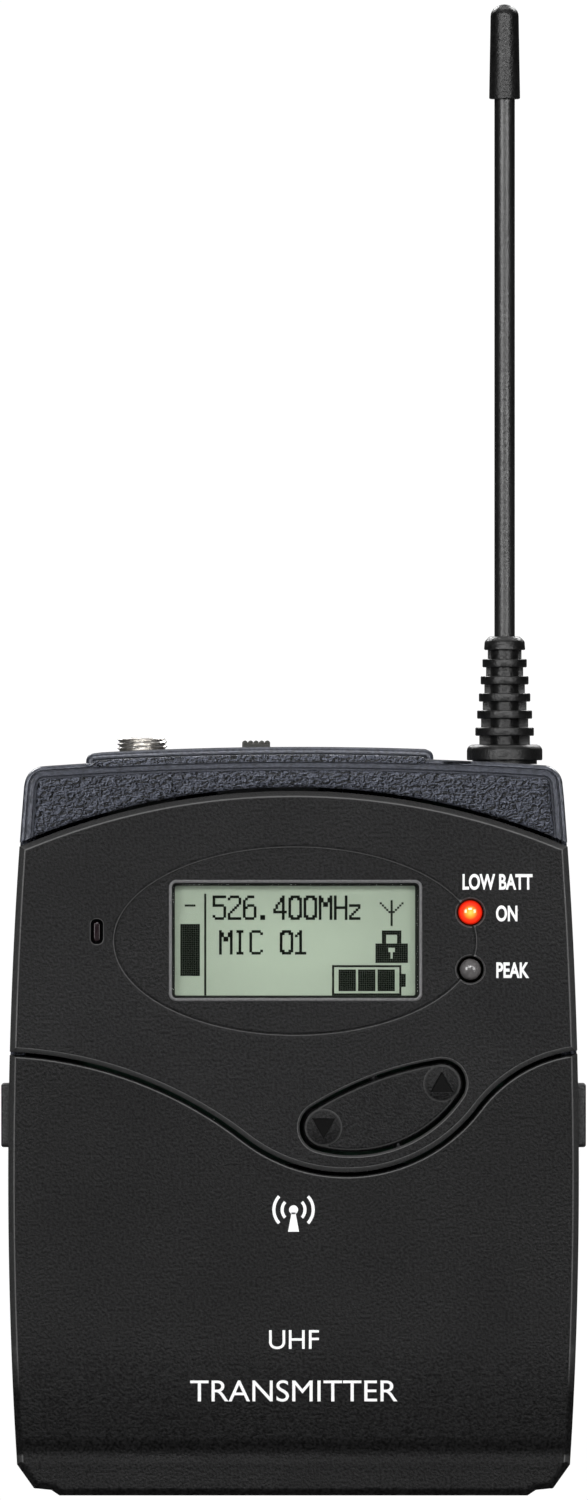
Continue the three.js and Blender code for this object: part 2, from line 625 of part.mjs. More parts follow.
// ---------------------------------------------------------------- belt clip
function beltClip() {
  const { x, thick, y, pinY, pinZ, barrel } = CLIP;
  const t = thick / 2;
  const centre = [[y, pinZ], [y, 31], [17.2, 27], [15.6, 22], [14.0, 18.5], [13.9, 17], [15.6, 12.5]];
  const normals = centre.map((_, i) => {
    const a = centre[Math.max(i - 1, 0)];
    const b = centre[Math.min(i + 1, centre.length - 1)];
    const length = Math.hypot(b[0] - a[0], b[1] - a[1]);
    return [-(b[1] - a[1]) / length, (b[0] - a[0]) / length];
  });
  const outer = centre.map(([cy, cz], i) => [cy + normals[i][0] * t, cz + normals[i][1] * t]);
  const inner = centre.map(([cy, cz], i) => [cy - normals[i][0] * t, cz - normals[i][1] * t]);
  const strap = prism([...outer, ...inner.reverse()], -x, x);
  const face = plate(roundedRectangle(-x, x, 12, 70, 4), 10, 20, 4);
  const roll = rodX(barrel, -x, x, pinY, pinZ, 24);
  return cut(join([strap.intersect(face), roll]), [
    rodX(CLIP.pinR + GAP, -20, 20, pinY, pinZ, 16),
    block(-4.6, 4.6, 12, 19, pinZ - 2.4, pinZ + 3),
  ]);
}

function clipBracket() {
  const { x, y0, y1, z0, z1 } = BRACKET;
  const base = plate(roundedRectangle(-x, x, z0, z1, 1.5), y0, y1, 3);
  const { barrel, pinY, pinZ } = CLIP;
  const lugs = SIDES.flatMap(([, side]) => [
    sideRod(side, barrel, BRACKET.lug0, BRACKET.lug1, pinY, pinZ),
    sideBlock(side, BRACKET.lug0, BRACKET.lug1, y0 + 0.2, pinY, pinZ - barrel, pinZ + barrel),
  ]);
  return cut(join([base, ...lugs]), [
    rodX(CLIP.pinR + GAP, -20, 20, pinY, pinZ, 16),
    ...SIDES.map(([, side]) => rodY(CLIP_SCREW.hole, 12, 14, side * CLIP_SCREW.x, CLIP_SCREW.z, 12)),
  ]);
}

// A cross-slotted screw along Y, with its head at the back and its tip at the depth end.
function screw(x, z, end, { headR, shankR, headY, headT }) {
  const top = headY + headT;
  const reach = headR * 0.45;
  const slot = 0.2;
  const head = rodY(headR, headY, top, x, z, 16);
  const shank = rodY(shankR, end, headY + 0.1, x, z, 12);
  return cut(join([head, shank]), [
    block(x - reach, x + reach, headY + headT / 2, top + 1, z - slot, z + slot),
    block(x - slot, x + slot, headY + headT / 2, top + 1, z - reach, z + reach),
  ]);
}

// ---------------------------------------------------------------- assembly
const finishes = {
  blackPlastic: { color: 0x2c2c2c, roughness: 0.6, metalness: 0 },
  greyCasting: { color: 0x464950, roughness: 0.55, metalness: 0.3 },
  innerPlastic: { color: 0x3a3b3d, roughness: 0.6, metalness: 0 },
  rubber: { color: 0x1c1c1c, roughness: 0.75, metalness: 0 },
  nickel: { color: 0xc9c7c0, roughness: 0.25, metalness: 1 },
  springSteel: { color: 0x8d8f92, roughness: 0.35, metalness: 1 },
  blackSteel: { color: 0x1f2022, roughness: 0.45, metalness: 0.7 },
  gold: { color: 0xd0a850, roughness: 0.3, metalness: 1 },
  clear: { color: 0xdfe6e0, roughness: 0.05, metalness: 0, transparent: true, opacity: 0.35 },
  lcdGreen: { color: 0xabbaa7, roughness: 0.2, metalness: 0 },
  diffuser: { color: 0xe6ebe0, roughness: 0.5, metalness: 0 },
  lampRed: { color: 0xd02010, roughness: 0.15, metalness: 0, emissive: 0xff3010 },
  lampDark: { color: 0x4a4646, roughness: 0.15, metalness: 0 },
  smoke: { color: 0x1a1012, roughness: 0.15, metalness: 0 },
  buttonRed: { color: 0xa8201c, roughness: 0.5, metalness: 0 },
  buttonGrey: { color: 0x6d7074, roughness: 0.5, metalness: 0 },
  board: { color: 0x1d5a3a, roughness: 0.5, metalness: 0 },
  cellWrap: { color: 0x3b6d8f, roughness: 0.35, metalness: 0.2 },
  foam: { color: 0x2a2a2a, roughness: 0.95, metalness: 0 },
};

const transmitter = new THREE.Group();

function add(parent, name, piece, finish, place = [0, 0, 0]) {
  const geometry = piece.isBufferGeometry ? piece : geometryOf(piece);
  const mesh = new THREE.Mesh(geometry, new THREE.MeshStandardMaterial(finishes[finish]));
  mesh.name = name;
  mesh.position.set(...place);
  parent.add(mesh);
  return mesh;
}

function assembly() {
  const group = new THREE.Group();
  transmitter.add(group);
  return group;
}

const housing = assembly();
add(housing, "rear_shell", rearShell(), "greyCasting");
add(housing, "top_cap", topCap(), "greyCasting");
add(housing, "front_panel", frontPanel(), "blackPlastic");
SCREWS.forEach(([x, z], i) => {
  const end = z > WIDEST_Z ? HOUSING_SCREW.high : HOUSING_SCREW.low;
  add(housing, `housing_screw_${i + 1}`, screw(x, z, end, HOUSING_SCREW), "blackSteel");
});
for (const [name, side] of SIDES) {
  const contact = sideRod(side, CHARGER.r, CHARGER.x0, CHARGER.x1, CHARGER.y, CHARGER.z);
  const pin = sideRod(side, HINGE.pin, 21, 28.2, HINGE.y, HINGE.z, 12);
  add(housing, `charging_contact_${name}`, contact, "gold");
  add(housing, `hinge_pin_${name}`, pin, "springSteel");
}

const cover = assembly();
add(cover, "battery_cover", batteryCover(), "blackPlastic");
add(cover, "cover_pad", block(-12, 12, -10.1, -8.9, 16.4, 21), "foam");
for (const [name, side] of SIDES) {
  add(cover, `release_catch_${name}`, catchSolid(side), "blackPlastic");
  add(cover, `catch_spring_${name}`, springSleeve(side), "springSteel");
}

const controls = assembly();
add(controls, "rocker_button", rockerButton(), "blackPlastic");
add(controls, "rocker_axle", alongRocker(rodZ(0.5, -5.6, 4.8, 0, ROCKER.axleY, 12)), "springSteel");
add(controls, "on_off_button", pushButton(ON_OFF), "buttonRed");
add(controls, "set_button", pushButton(SET), "buttonGrey");
const turn = radians(ROCKER.tilt);
const reach = [ROCKER.half * Math.cos(turn), ROCKER.half * Math.sin(turn)];
const switches = {
  switch_down: [ROCKER.x - reach[0], ROCKER.z - reach[1]],
  switch_up: [ROCKER.x + reach[0], ROCKER.z + reach[1]],
  switch_on_off: [ON_OFF.x, ON_OFF.z],
  switch_set: [SET.x, SET.z],
};
for (const [name, [x, z]] of Object.entries(switches)) {
  add(controls, name, tactSwitch(x, z), "innerPlastic");
}

const display = assembly();
const pane = rectangle(WINDOW.x0, WINDOW.x1, WINDOW.z0, WINDOW.z1);
add(display, "display_window", plate(pane, -11.95, -10.8), "clear");
const layer = ({ x0, x1, z0, z1 }, inset, y0, y1) =>
  block(x0 + inset, x1 - inset, y0, y1, z0 + inset, z1 - inset);
const backlight = layer(LCD_GLASS, BACKLIGHT.inset, BACKLIGHT.y0, BACKLIGHT.y1);
add(display, "lcd_glass", layer(LCD_GLASS, 0, LCD_GLASS.y0, LCD_GLASS.y1), "lcdGreen");
add(display, "lcd_frame", lcdFrame(), "innerPlastic");
add(display, "backlight_panel", backlight, "diffuser");
add(display, "led_on", lamp(LED_ON_Z, 1.35, -12.1), "lampRed");
add(display, "led_peak", lamp(LED_PEAK_Z, 1.35, -12.0), "lampDark");
const eye = roundedRectangle(-0.35, 0.35, -1.05, 1.05, 0.3);
add(display, "infrared_window", plate(eye, -11.6, -9.4, 3), "smoke", [INFRARED.x, 0, INFRARED.z]);
add(display, "infrared_receiver", block(-23.2, -19.8, -6.9, -4.7, 59.7, 63.0), "smoke");

const power = assembly();
add(power, "battery_tray", batteryTray(), "innerPlastic");
add(power, "battery_upper", cell(1), "cellWrap", [0, CELL.y, CELL.upper]);
add(power, "battery_lower", cell(-1), "cellWrap", [0, CELL.y, CELL.lower]);
add(power, "contact_spring_upper", contactSpring(-1), "springSteel", [0, 0, CELL.upper]);
add(power, "contact_spring_lower", contactSpring(1), "springSteel", [0, 0, CELL.lower]);
add(power, "bridge_contact", block(26.35, 26.65, -5.4, 1, 8, 29.4), "nickel");
add(power, "positive_contact", block(-26.65, -26.35, -5.4, 1, 8, 14.4), "nickel");
add(power, "negative_contact", block(-26.65, -26.35, -5.4, 1, 23, 29.4), "nickel");

const electronics = assembly();
add(electronics, "control_board", controlBoard(), "board");
add(electronics, "main_board", mainBoard(), "board");
add(electronics, "shield_can", shieldCan(), "nickel");
add(electronics, "board_connector", block(-20, -8, -3.1, 7.3, 40, 43), "innerPlastic");

const fittings = assembly();
add(fittings, "jack_bushing", jackBushing(), "nickel", [JACK.x, 0, 0]);
const plugBore = rodZ(1.8, 67, 78, JACK.x, 0, 16);
const socket = block(JACK.x - 3.8, JACK.x + 3.8, -2.9, 2.9, 64.5, 76.9).subtract(plugBore);
add(fittings, "jack_body", socket, "innerPlastic");
add(fittings, "mute_slider", muteSlider(), "blackPlastic");
add(fittings, "mute_switch", block(-8.4, 2.6, -2.6, 2.6, 73.8, 78.2), "innerPlastic");
add(fittings, "antenna_base", antennaBase(), "rubber", [ANTENNA.x, 0, 0]);
add(fittings, "antenna_boot", antennaBoot(), "rubber", [ANTENNA.x, 0, 0]);
add(fittings, "antenna_whip", rodZ(WHIP.r, WHIP.z0, WHIP.z1, ANTENNA.x, 0, 16), "rubber");
add(fittings, "antenna_tip", antennaTip(), "rubber", [ANTENNA.x, 0, 0]);

const clip = assembly();
add(clip, "clip_bracket", clipBracket(), "blackSteel");
add(clip, "belt_clip", beltClip(), "blackSteel");
add(clip, "clip_pin", rodX(CLIP.pinR, -13.4, 13.4, CLIP.pinY, CLIP.pinZ, 16), "springSteel");
const coil = (r, half) => rodX(r, -half, half, CLIP.pinY, CLIP.pinZ, 20);
const spring = coil(CLIP_SPRING.r, CLIP_SPRING.half).subtract(coil(CLIP_SPRING.bore, CLIP_SPRING.half + 1));
add(clip, "clip_spring", spring, "springSteel");
for (const [name, side] of SIDES) {
  const fastener = screw(side * CLIP_SCREW.x, CLIP_SCREW.z, CLIP_SCREW.end, CLIP_SCREW);
  add(clip, `clip_screw_${name}`, fastener, "blackSteel");
}

export default transmitter;
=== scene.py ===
"""Looks for a wireless bodypack transmitter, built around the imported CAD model.

Shapes are worked out in millimetres in the CAD frame (X right, -Y front, +Z up) and turned into
metres when a piece is made. Outlines are lists of (x, z) points that run anticlockwise seen from
the front; prism() gives them depth with rounded or bevelled edges.
"""
import math

import bmesh
import bpy
from mathutils import Matrix, Vector


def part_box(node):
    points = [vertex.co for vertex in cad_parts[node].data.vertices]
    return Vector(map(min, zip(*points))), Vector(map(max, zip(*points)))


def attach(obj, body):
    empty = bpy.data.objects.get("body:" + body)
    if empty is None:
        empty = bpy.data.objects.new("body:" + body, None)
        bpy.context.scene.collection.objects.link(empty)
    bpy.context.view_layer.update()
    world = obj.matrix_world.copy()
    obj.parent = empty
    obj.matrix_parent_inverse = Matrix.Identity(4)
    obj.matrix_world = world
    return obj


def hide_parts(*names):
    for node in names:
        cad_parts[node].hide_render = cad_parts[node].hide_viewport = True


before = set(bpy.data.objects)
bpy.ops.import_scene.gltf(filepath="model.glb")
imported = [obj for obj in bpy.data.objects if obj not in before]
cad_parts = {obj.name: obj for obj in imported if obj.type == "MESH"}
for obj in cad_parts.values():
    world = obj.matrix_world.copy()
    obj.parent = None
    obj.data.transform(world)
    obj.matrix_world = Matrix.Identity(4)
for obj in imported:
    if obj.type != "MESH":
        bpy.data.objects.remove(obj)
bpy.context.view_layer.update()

# ------------------------------------------------------------------ driving dimensions, in mm
MM = 0.001
HALF_WIDTH = 31.2
WIDEST_Z = 35.0
SIDE_RADIUS = 526.0
FRONT, BACK = -12.0, 12.0
WALL = 1.6
SEAM = 0.4
SPLIT = -4.2
FOOT = [(25.6, 0.0), (26.5, 0.6), (28.4, 0.8)]
CHAMFER_TOP = 3.4
ROLL_START, ROLL_RADIUS, LIP_Z = 17.0, 50.0, 4.3
CROWN_Z, CROWN_R = 0.27, 77.0
CREST_LEFT = (-32.86, 3.45, 44.95)
BOWL = (5.78, 53.32, 18.13)
CREST_RIGHT = (32.7, 32.99, 15.61)
CAP_SPLIT = 78.1
CAP_CORNER = 2.2
CAP_ARC_X, CAP_ARC_R = 0.75, 399.0
SHOULDER_Z = 80.78
PLATFORM_X0, PLATFORM_X1, PLATFORM_Y, PLATFORM_Z = -22.7, 15.3, 9.3, 81.87
HINGE_Y, HINGE_Z = -5.6, 2.0
SCREWS = [(-24, 10), (24, 10), (-24, 66), (24, 66)]
GLASS = (-13.2, 13.64, 54.49, 66.93)
LAMP_X, LAMP_ON_Z, LAMP_PEAK_Z = 19.33, 63.8, 57.56
EYE = (-21.5, 61.7, 1.3, 2.7)
ROCKER = (9.745, 42.7)
ROCKER_TILT = math.radians(20.4)
ROCKER_HALF, ROCKER_END, ROCKER_TOP, ROCKER_BOTTOM = 6.887, 2.25, 2.94, 4.45
JACK_X = -16.6
MUTE_X0, MUTE_X1 = -5.64, -2.57
ANTENNA_X = 23.17
CELL_Y, CELL_LOW_Z, CELL_HIGH_Z, CELL_R = -2.2, 11.2, 26.2, 7.1
DECK_FRONT, DECK_HALF, DECK_Z = -8.8, 23.2, 33.8
BAY_HALF, BAY_FRONT, BAY_BACK, BAY_Z = 27.0, -8.2, 5.5, 4.2
ON_OFF = (-17.0, 40.5, 2.4)
SET = (19.9, 37.9, 1.7)
CATCH_Y, CATCH_Z = -7.9, 41.6
CHARGER_Y, CHARGER_Z = 4.0, 14.0
PIN_Y, PIN_Z, BARREL = 15.9, 63.0, 2.3
CLIP_HALF, CLIP_THICK = 11.0, 1.0
BRACKET_HALF, BRACKET_BACK, LUG_X0, LUG_X1 = 13.0, 13.3, 11.4, 12.8
CLIP_SCREW_X, CLIP_SCREW_Z = 8, 68
PRINT_DEPTH = 0.004
FLOOR_Z = -0.013
SIDES = (("left", -1), ("right", 1))


# ------------------------------------------------------------------ outlines
def arc(cx, cz, r, start, end, steps):
    turn = (end - start) / steps
    angles = [start + turn * i for i in range(steps + 1)]
    return [(cx + r * math.cos(a), cz + r * math.sin(a)) for a in angles]


def circle(cx, cz, r, steps=48):
    return arc(cx, cz, r, 0, 2 * math.pi, steps)[:-1]


def box_outline(x0, x1, z0, z1, r=0.0, steps=6):
    if r == 0:
        return [(x0, z0), (x1, z0), (x1, z1), (x0, z1)]
    q = math.pi / 2
    corners = [(x1 - r, z0 + r, -q), (x1 - r, z1 - r, 0), (x0 + r, z1 - r, q), (x0 + r, z0 + r, 2 * q)]
    return [p for cx, cz, a in corners for p in arc(cx, cz, r, a, a + q, steps)]


def offset(points, inset):
    """The outline moved inwards by inset, or outwards where that is negative, corner by corner."""
    if abs(inset) < 1e-9:
        return list(points)
    moved = []
    for i, here in enumerate(points):
        back = Vector(points[i - 1])
        ahead = Vector(points[(i + 1) % len(points)])
        a = (Vector(here) - back).normalized()
        b = (ahead - Vector(here)).normalized()
        normal = Vector((-a.y - b.y, a.x + b.x)).normalized()
        reach = inset / max(0.3, normal.dot(Vector((-a.y, a.x))))
        moved.append((here[0] + normal.x * reach, here[1] + normal.y * reach))
    return moved


def side_x(z):
    return HALF_WIDTH - SIDE_RADIUS + math.sqrt(SIDE_RADIUS**2 - (z - WIDEST_Z) ** 2)


def side_line(z0, z1, steps):
    heights = [z0 + (z1 - z0) * i / steps for i in range(steps + 1)]
    return [(side_x(z), z) for z in heights]


def case_outline(top=88.0):
    right = FOOT + side_line(CHAMFER_TOP, top, 40)
    return right + [(-x, z) for x, z in reversed(right)]


def crown_outline(grow=0.0):
    half = math.acos(40 / CROWN_R)
    return [(-40, 20), (40, 20)] + arc(0, CROWN_Z, CROWN_R + grow, half, math.pi - half, 90)


def cover_outline(up=0.0):
    """Everything below the curved seam over the battery cover, with the seam moved up by up."""
    lx, lz, lr = CREST_LEFT
    bx, bz, br = BOWL
    rx, rz, rr = CREST_RIGHT
    left = math.atan2(bz - lz, bx - lx)
    right = math.atan2(bz - rz, bx - rx)
    start = math.acos((34 - rx) / (rr + up))
    end = math.acos((-34 - lx) / (lr + up))
    points = [(-34, -5), (34, -5)]
    points += arc(rx, rz, rr + up, start, right, 30)[:-1]
    points += arc(bx, bz, br - up, right - math.pi, left - math.pi, 48)[:-1]
    points += arc(lx, lz, lr + up, left, end, 48)
    return points


def top_z(x, height):
    return height - (x - CAP_ARC_X) ** 2 / (2 * CAP_ARC_R)


def cap_outline(height=SHOULDER_Z, corner=CAP_CORNER):
    low = 68.0
    reach = side_x(CAP_SPLIT) - corner
    right_z = top_z(reach, height) - corner
    left_z = top_z(-reach, height) - corner
    q = math.pi / 2
    points = side_line(low, right_z, 8)[:-1] + arc(reach, right_z, corner, 0, q, 10)[:-1]
    points += [(reach - 2 * reach * i / 48, top_z(reach - 2 * reach * i / 48, height)) for i in range(48)]
    points += arc(-reach, left_z, corner, q, 2 * q, 10)[:-1]
    return points + [(-x, z) for x, z in reversed(side_line(low, left_z, 8))]


def band_outline(x0, x1, height, low, corner):
    """A strip with a domed top and small corner rounds, from x0 to x1 and up to height."""
    q = math.pi / 2
    right_z = top_z(x1, height) - corner
    left_z = top_z(x0, height) - corner
    steps = 40
    points = [(x0, low), (x1, low)] + arc(x1 - corner, right_z, corner, 0, q, 6)[:-1]
    for i in range(steps):
        x = x1 - corner - (x1 - x0 - 2 * corner) * i / steps
        points.append((x, top_z(x, height)))
    return points + arc(x0 + corner, left_z, corner, q, 2 * q, 6)


def rocker_frame(u, v):
    c, s = math.cos(ROCKER_TILT), math.sin(ROCKER_TILT)
    return ROCKER[0] + u * c - v * s, ROCKER[1] + u * s + v * c


def rocker_outline():
    """Two end circles joined by a flat arc above and a deep arc below."""
    half, end = ROCKER_HALF, ROCKER_END
    top_r, low_r = [(half**2 + b**2 - end**2) / (2 * (b - end)) for b in (ROCKER_TOP, ROCKER_BOTTOM)]
    lean = math.atan2(half, top_r - ROCKER_TOP)
    deep = math.atan2(half, low_r - ROCKER_BOTTOM)
    q = math.pi / 2
    points = arc(0, ROCKER_TOP - top_r, top_r, q - lean, q + lean, 30)[:-1]
    points += arc(-half, 0, end, q + lean, 3 * q - deep, 16)[:-1]
    points += arc(0, low_r - ROCKER_BOTTOM, low_r, 3 * q - deep, 3 * q + deep, 30)[:-1]
    points += arc(half, 0, end, 3 * q + deep, 5 * q - lean, 16)[:-1]
    return [rocker_frame(u, v) for u, v in points]


# ------------------------------------------------------------------ edge profiles, as (inset, depth)
SQUARE = [(0.0, 0.0)]


def rounded(r, steps=6):
    angles = [math.pi / 2 * i / steps for i in range(steps + 1)]
    return [(r * (1 - math.sin(a)), r * (1 - math.cos(a))) for a in angles]


def crest(width, r, steps=5):
    """A rounding where the face ends, then a bevel at 45 degrees."""
    angles = [math.pi / 4 * i / steps for i in range(steps + 1)]
    turn = [(width - r * math.sin(a), r * (1 - math.cos(a))) for a in angles]
    inset, depth = turn[-1]
    return turn + [(0.0, depth + inset)]


# ------------------------------------------------------------------ solids, as meshes in mm
def finish_mesh(bm):
    bmesh.ops.recalc_face_normals(bm, faces=bm.faces)
    mesh = bpy.data.meshes.new("solid")
    bm.to_mesh(mesh)
    bm.free()
    return mesh


def loft(rings):
    """A closed solid through rings of points that all have the same number of points."""
    bm = bmesh.new()
    made = [[bm.verts.new(p) for p in ring] for ring in rings]
    bm.faces.new(made[0])
    bm.faces.new(list(reversed(made[-1])))
    for near, far in zip(made, made[1:]):
        for i in range(len(near)):
            j = (i + 1) % len(near)
            bm.faces.new((near[i], far[i], far[j], near[j]))
    return finish_mesh(bm)


def prism(outline, y0, y1, front=SQUARE, back=SQUARE):
    rings = [(inset, y0 + depth) for inset, depth in front]
    rings += [(inset, y1 - depth) for inset, depth in reversed(back)]
    return loft([[(x, y, z) for x, z in offset(outline, inset)] for inset, y in rings])


def opening(outline, y0, y1, flare=SQUARE):
    """A cutter whose mouth at y0 is flared, so that the edge it leaves is rounded or bevelled."""
    rings = [(-flare[0][0], y0 - 1)] + [(-inset, y0 + depth) for inset, depth in flare]
    rings.append((-flare[-1][0], y1))
    return loft([[(x, y, z) for x, z in offset(outline, inset)] for inset, y in rings])


def sideways(outline, x0, x1, edge=SQUARE):
    """A solid along X whose outline is a list of (y, z) points, anticlockwise seen from -X."""
    turn = Matrix(((0, -1, 0, 0), (1, 0, 0, 0), (0, 0, 1, 0), (0, 0, 0, 1)))
    return moved(prism(outline, -x1, -x0, edge, edge), turn)


def block(x0, x1, y0, y1, z0, z1, r=0.0):
    edge = rounded(r, 3) if r else SQUARE
    return prism(box_outline(x0, x1, z0, z1, r, 3), y0, y1, edge, edge)


def lathe(profile, axis="Z", at=(0, 0, 0), sides=48):
    """A solid turned from (radius, height) points, which start and end on the axis or close."""
    closed = profile[0][0] > 1e-6
    bm = bmesh.new()
    rows = []
    for r, h in profile:
        if r < 1e-6:
            rows.append([bm.verts.new((0, 0, h))] * sides)
            continue
        angles = [2 * math.pi * i / sides for i in range(sides)]
        rows.append([bm.verts.new((r * math.cos(a), r * math.sin(a), h)) for a in angles])
    pairs = list(zip(rows, rows[1:])) + ([(rows[-1], rows[0])] if closed else [])
    for low, high in pairs:
        for i in range(sides):
            j = (i + 1) % sides
            corners = [low[i], low[j], high[j], high[i]]
            unique = list(dict.fromkeys(corners))
            if len(unique) > 2:
                bm.faces.new(unique)
    turn = {
        "Z": Matrix(), "X": Matrix.Rotation(math.pi / 2, 4, "Y"), "Y": Matrix.Rotation(-math.pi / 2, 4, "X")
    }
    bmesh.ops.transform(bm, matrix=Matrix.Translation(at) @ turn[axis], verts=bm.verts)
    return finish_mesh(bm)


def rod(axis, r, low, high, at, edge=0.0, sides=32):
    """A round bar from low to high along the axis, through at, with its rims rounded by edge."""
    rim = rounded(edge, 3) if edge else SQUARE
    profile = [(0, low)] + [(r - inset, low + depth) for inset, depth in rim]
    profile += [(r - inset, high - depth) for inset, depth in reversed(rim)] + [(0, high)]
    return lathe(profile, axis, at, sides)


def sweep(path, r, sides):
    """A round bar along a path of points."""
    ring = circle(0, 0, r, sides)
    points = [Vector(p) for p in path]
    rings = []
    side = None
    for i, here in enumerate(points):
        along = (points[min(i + 1, len(points) - 1)] - points[max(i - 1, 0)]).normalized()
        if side is None:
            side = along.orthogonal().normalized()
        side = (side - along * side.dot(along)).normalized()
        up = along.cross(side)
        rings.append([here + side * a + up * b for a, b in ring])
    return loft(rings)


def helix(r0, r1, at, length, turns, wire, steps=20):
    """A coil spring of round wire along X, whose radius runs from r0 to r1."""
    total = int(turns * steps)
    path = []
    for i in range(total + 1):
        t = i / total
        a = 2 * math.pi * turns * t
        r = r0 + (r1 - r0) * t
        along = wire + (length - 2 * wire) * t
        path.append((at[0] + along, at[1] + r * math.cos(a), at[2] + r * math.sin(a)))
    return sweep(path, wire, 8)


def combine(base, add=(), keep=(), cut=()):
    """base joined with each of add, kept where it is inside each of keep, and cut by each of cut."""
    subject = bpy.data.objects.new("subject", base)
    bpy.context.scene.collection.objects.link(subject)
    tools = []
    for operation, meshes in (("UNION", add), ("INTERSECT", keep), ("DIFFERENCE", cut)):
        for mesh in meshes:
            tool = bpy.data.objects.new("tool", mesh)
            bpy.context.scene.collection.objects.link(tool)
            tools.append(tool)
            step = subject.modifiers.new("step", "BOOLEAN")
            step.solver = "MANIFOLD"
            step.operation = operation
            step.object = tool
    bpy.context.view_layer.update()
    evaluated = subject.evaluated_get(bpy.context.evaluated_depsgraph_get())
    result = bpy.data.meshes.new_from_object(evaluated)
    for temporary in [subject, *tools]:
        mesh = temporary.data
        bpy.data.objects.remove(temporary)
        if mesh.users == 0:
            bpy.data.meshes.remove(mesh)
    return result


def gather(meshes):
    """Several solids that don't touch, as one mesh."""
    bm = bmesh.new()
    for mesh in meshes:
        bm.from_mesh(mesh)
    return finish_mesh(bm)


def span(side, a, b):
    """The range from a to b on the right side, or its mirror image on the left."""
    return sorted((side * a, side * b))


def moved(mesh, matrix):
    mesh.transform(matrix)
    if matrix.determinant() < 0:
        mesh.flip_normals()
    return mesh


def along_rocker(mesh):
    turn = Matrix.Rotation(-ROCKER_TILT, 4, "Y")
    return moved(mesh, Matrix.Translation((ROCKER[0], 0, ROCKER[1])) @ turn)


def coat(thing, material, chosen):
    """Gives a second material to the faces whose centre, in mm, chosen() picks."""
    thing.data.materials.append(material)
    for face in thing.data.polygons:
        if chosen(face.center / MM):
            face.material_index = 1


def piece(name, mesh, material, replaces=(), body="root", sharp=32):
    """Puts a solid into the scene in metres, smooth except at edges sharper than sharp degrees."""
    mesh.transform(Matrix.Scale(MM, 4))
    mesh.name = name
    mesh.materials.clear()
    mesh.materials.append(material)
    mesh.shade_smooth()
    mesh.set_sharp_from_angle(angle=math.radians(sharp))
    thing = bpy.data.objects.new(name, mesh)
    bpy.context.scene.collection.objects.link(thing)
    normals = thing.modifiers.new("normals", "WEIGHTED_NORMAL")
    normals.keep_sharp = True
    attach(thing, body)
    if replaces:
        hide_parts(*replaces)
    return thing


# ------------------------------------------------------------------ materials
def set_range(node, from_low, from_high, to_low, to_high):
    values = {"From Min": from_low, "From Max": from_high, "To Min": to_low, "To Max": to_high}
    for socket, value in values.items():
        node.inputs[socket].default_value = value


